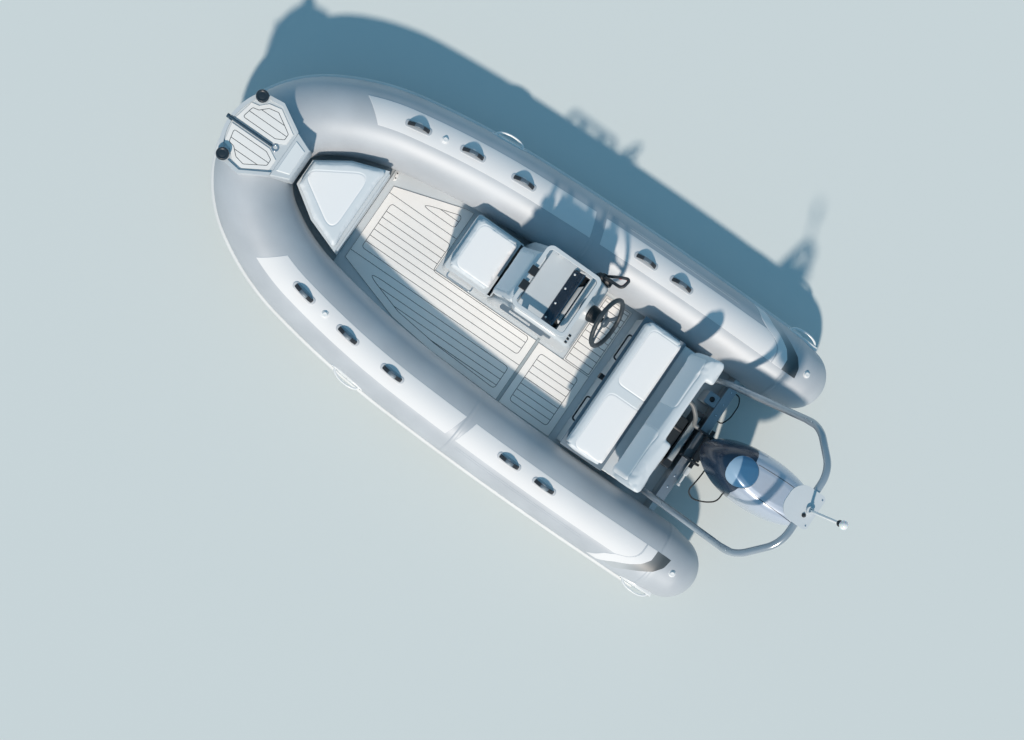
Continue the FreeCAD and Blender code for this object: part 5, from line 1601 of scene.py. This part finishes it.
# columns: radius and height along the shaft from the wheel's centre
WHEEL_CAP = [(0.0200, -0.0238), (0.0370, -0.0225), (0.0378, -0.0180), (0.0372, -0.0060), (0.0340, -0.0010),
             (0.0300, 0.0006), (0.0270, 0.0006), (0.0262, -0.0006), (0.0230, -0.0006), (0.0222, 0.0012),
             (0.0080, 0.0019), (0.0004, 0.0020)]


def wheel_point(radius, angle, height):
    """A place on the wheel: out from the hub, round it, and along the shaft."""
    a = math.radians(angle)
    return WHEEL_C + LOCAL_UP * radius * math.cos(a) + Vector((0, radius * math.sin(a), 0)) + AXLE * height


points = []
for k in range(RIM_STEPS):
    angle = 360 * k / RIM_STEPS
    swell = 0.0007 * math.cos(math.radians(angle * 24))
    points += [wheel_point(RIM_MIDDLE + u, angle, v * (0.0145 + swell) / (0.0150 + swell))
               for u, v in circle(0.0150 + swell, RIM_SIDES)]
last = len(points) - RIM_SIDES
faces = grid_faces(RIM_STEPS, RIM_SIDES, closed=True)
faces += [(last + c, last + (c + 1) % RIM_SIDES, (c + 1) % RIM_SIDES, c) for c in range(RIM_SIDES)]
rim = recalculated(mesh_piece("wheel_rim", points, faces, plastic("rim_foam", (0.20, 0.235, 0.26), 0.46)))
placed(rim, "black_plastic", "steering_wheel", "steering_wheel")
spokes = []
for middle in (90, 210, 330):
    rings = []
    for s in range(9):
        out = SPOKE_FROM + (SPOKE_TO - SPOKE_FROM) * s / 8
        half = 0.0125 + 0.0075 * (2 * s / 8 - 1) ** 2
        lift = -0.0150 + 0.0110 * (s / 8) ** 2
        spread_by = math.degrees(math.asin(min(0.9, half / out)))
        rings.append([wheel_point(out, middle + turn * spread_by, lift + up) for turn, up in SPOKE_SECTION])
    spokes.append(rings)
spoke_metal = plastic("spoke_metal", (0.36, 0.41, 0.45), 0.34, metallic=0.5)
spokes.append(turned(WHEEL_C, AXLE, WHEEL_CAP, 40))
solid("wheel_spokes", spokes, spoke_metal, "black_plastic", "steering_wheel")


# Throttle. A dark box on the console's side with a three-cornered loop above it, lined in red.
# columns: how far out of the console's side, and share of the box's size
BOX_RINGS = [(0.0003, 1.0), (0.0380, 1.0), (0.0440, 0.965), (0.0460, 0.90)]
BOX_KNOB = [(0.026, -0.002), (0.026, 0.006), (0.022, 0.010), (0.006, 0.011)]
LOOP = [(1.262, -0.512, 0.868), (1.268, -0.505, 0.955), (1.155, -0.500, 1.003), (1.142, -0.578, 1.010),
        (1.205, -0.552, 0.985), (1.256, -0.528, 0.905)]
LOOP_R = 0.0098
LOOP_MIDDLE = Vector((1.195, -0.530, 0.985))
box = [[Vector((1.255 + x * size, -0.482 - out, 0.790 + z * size)) for x, z in oblong(0.110, 0.180, 0.020, 5)]
       for out, size in BOX_RINGS]
knob = turned(Vector((1.262, -0.5275, 0.850)), Vector((0, -1, 0)), BOX_KNOB, 32)
solid("throttle_box", [box, knob], black_plastic, "black_plastic", node="throttle")
handle = swept(tube_path(bent(LOOP, 0.35, 8)), circle(LOOP_R, 16))
solid("throttle_loop", [handle], loop_plastic, "black_plastic")
line = [p + (LOOP_MIDDLE - p).normalized() * LOOP_R for p in bent(LOOP[1:5], 0.35, 8)]
red_paint = plastic("red_line", (0.80, 0.12, 0.17), 0.4)
solid("throttle_red_line", [swept(tube_path(line), circle(0.0030, 10))], red_paint, "handle_dark")


# Seat and bench mouldings. The lids carry the cushions and the steel rail stands on the
# seat's port side; two dark rails and a latch are screwed to the bench's front.
seat_box = dressed("seat_box", gel_coat, 0.003)
two_tone(seat_box, bright_metal, lambda c: c.y > -0.0125 and abs(c.z - 0.4) < 0.01)
dressed("seat_lid", gel_coat, 0.003)
dressed("bench_box", gel_coat, 0.004)
# The bench lid's mid grey is painted shade for the dark gap under the cushions.
dressed("bench_lid", plastic("painted_shade_coat", (0.44, 0.50, 0.55), 0.4), 0.003)
dressed("backrest_frame", gel_coat, 0.003)
dressed("bench_fittings", black_plastic, 0.001)


# Bow fittings. A white hinge plate with two dark screws stands at the starboard end of the
# bow locker's hinge.
corners = level([(2.7280, -0.3300), (2.7460, -0.3180), (2.7600, -0.3900), (2.7420, -0.4020)], 0.1410)
solid("hinge_plate", [raised(corners, UP, 0.0180, 0.002)], white_plastic, "lamp_white")
spots = [Vector((2.7410, -0.3420, 0.1585)), Vector((2.7480, -0.3760, 0.1585))]
heads("hinge_plate_screws", spots, [UP] * 2, 0.0052, 0.0030, 0.77, black_plastic, "black_plastic")


# Stern well. A dark step with a slatted grey strip stands over the sump, then the fuel filler's
# box, a dark battery box with its straps, and the hoses and cables that run to the engine.
WELL_STEP_TOP = 0.3015
FILLER_CAP = [(0.0192, 0.0), (0.0192, 0.0240), (0.0170, 0.0262), (0.0060, 0.0262), (0.0050, 0.0292),
              (0.0004, 0.0294)]
two_tone(dressed("well_step", cast_paint, 0.002), strip_rubber, lambda c: c.z > WELL_STEP_TOP)
given, add = node_tree("slats", Count="Int", Pitch="Float", Length="Float", Width="Float", Height="Float",
                       Material="Material")
step = add("ShaderNodeCombineXYZ", {"Y": given["Pitch"]})
row = add("GeometryNodeMeshLine", {"Count": given["Count"], "Offset": step})
extent = add("ShaderNodeCombineXYZ", {"X": given["Length"], "Y": given["Width"], "Z": given["Height"]})
slat = add("GeometryNodeMeshCube", {"Size": extent})
slats_tree = on_spots(add, given, add("GeometryNodeInstanceOnPoints", {"Points": row, "Instance": slat}))
grown("well_step_slats", slats_tree, [Vector((0.108, -0.1681, 0.3032))], "moulding_grey", Count=34,
      Pitch=0.0102, Length=0.036, Width=0.0058, Height=0.0026, Material=strip_rubber)
dressed("fuel_filler", plastic("filler_paint", (0.52, 0.60, 0.66), 0.4), 0.003)
cap = turned(Vector((0.1033, -0.328, 0.296)), UP, FILLER_CAP, 28)
solid("filler_cap", [cap], black_plastic, "black_plastic")
dressed("battery_box", black_plastic, 0.005, 3)
straps = [level(box_outline(0.1470, y, 0.2680, y + 0.022), 0.2899) for y in (-0.040, 0.110)]
straps = [raised(corners, UP, 0.0022, 0.0006) for corners in straps]
solid("battery_straps", straps, loop_plastic, "handle_dark")


# Hoses and cables. The rigging hose is a corrugated grey sleeve; the fuel hose and the cable
# are plain black rubber.
RIGGING = [(0.2797, -0.215, 0.430), (0.222, -0.215, 0.430), (0.150, -0.160, 0.404), (0.116, -0.112, 0.345),
           (0.0794, -0.112, 0.345)]
SLEEVE_STEP = 0.0018
hose_line = bent(RIGGING, 0.45, 10)
distances = [k * SLEEVE_STEP for k in range(int(length_of(hose_line) / SLEEVE_STEP))]
line = [part_of(hose_line, at, at)[0] for at in distances] + [hose_line[-1]]
hose_grey = plastic("hose_grey", (0.47, 0.49, 0.50), 0.45)
piped("rigging_sleeve", [(line, 0.965, False)], 0.016, hose_grey, "hose_grey", "rigging_hose", sides=24,
      pitch=0.0108, depth=0.06)
rubber = plastic("black_rubber", (0.10, 0.11, 0.12), 0.55)
dressed("fuel_hose", rubber)
dressed("stern_cable", rubber)


# Transom bolts. Bright dome heads along the beam's top.
spots = [Vector((0.022, y, 0.3295)) for y in (-0.44, -0.34, -0.25, 0.25, 0.34, 0.44)]
heads("transom_bolts", spots, [UP] * 6, 0.0080, 0.0068, 0.62, bright_metal, "stainless")


# The whole model. Its box after the looks.
low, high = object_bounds()
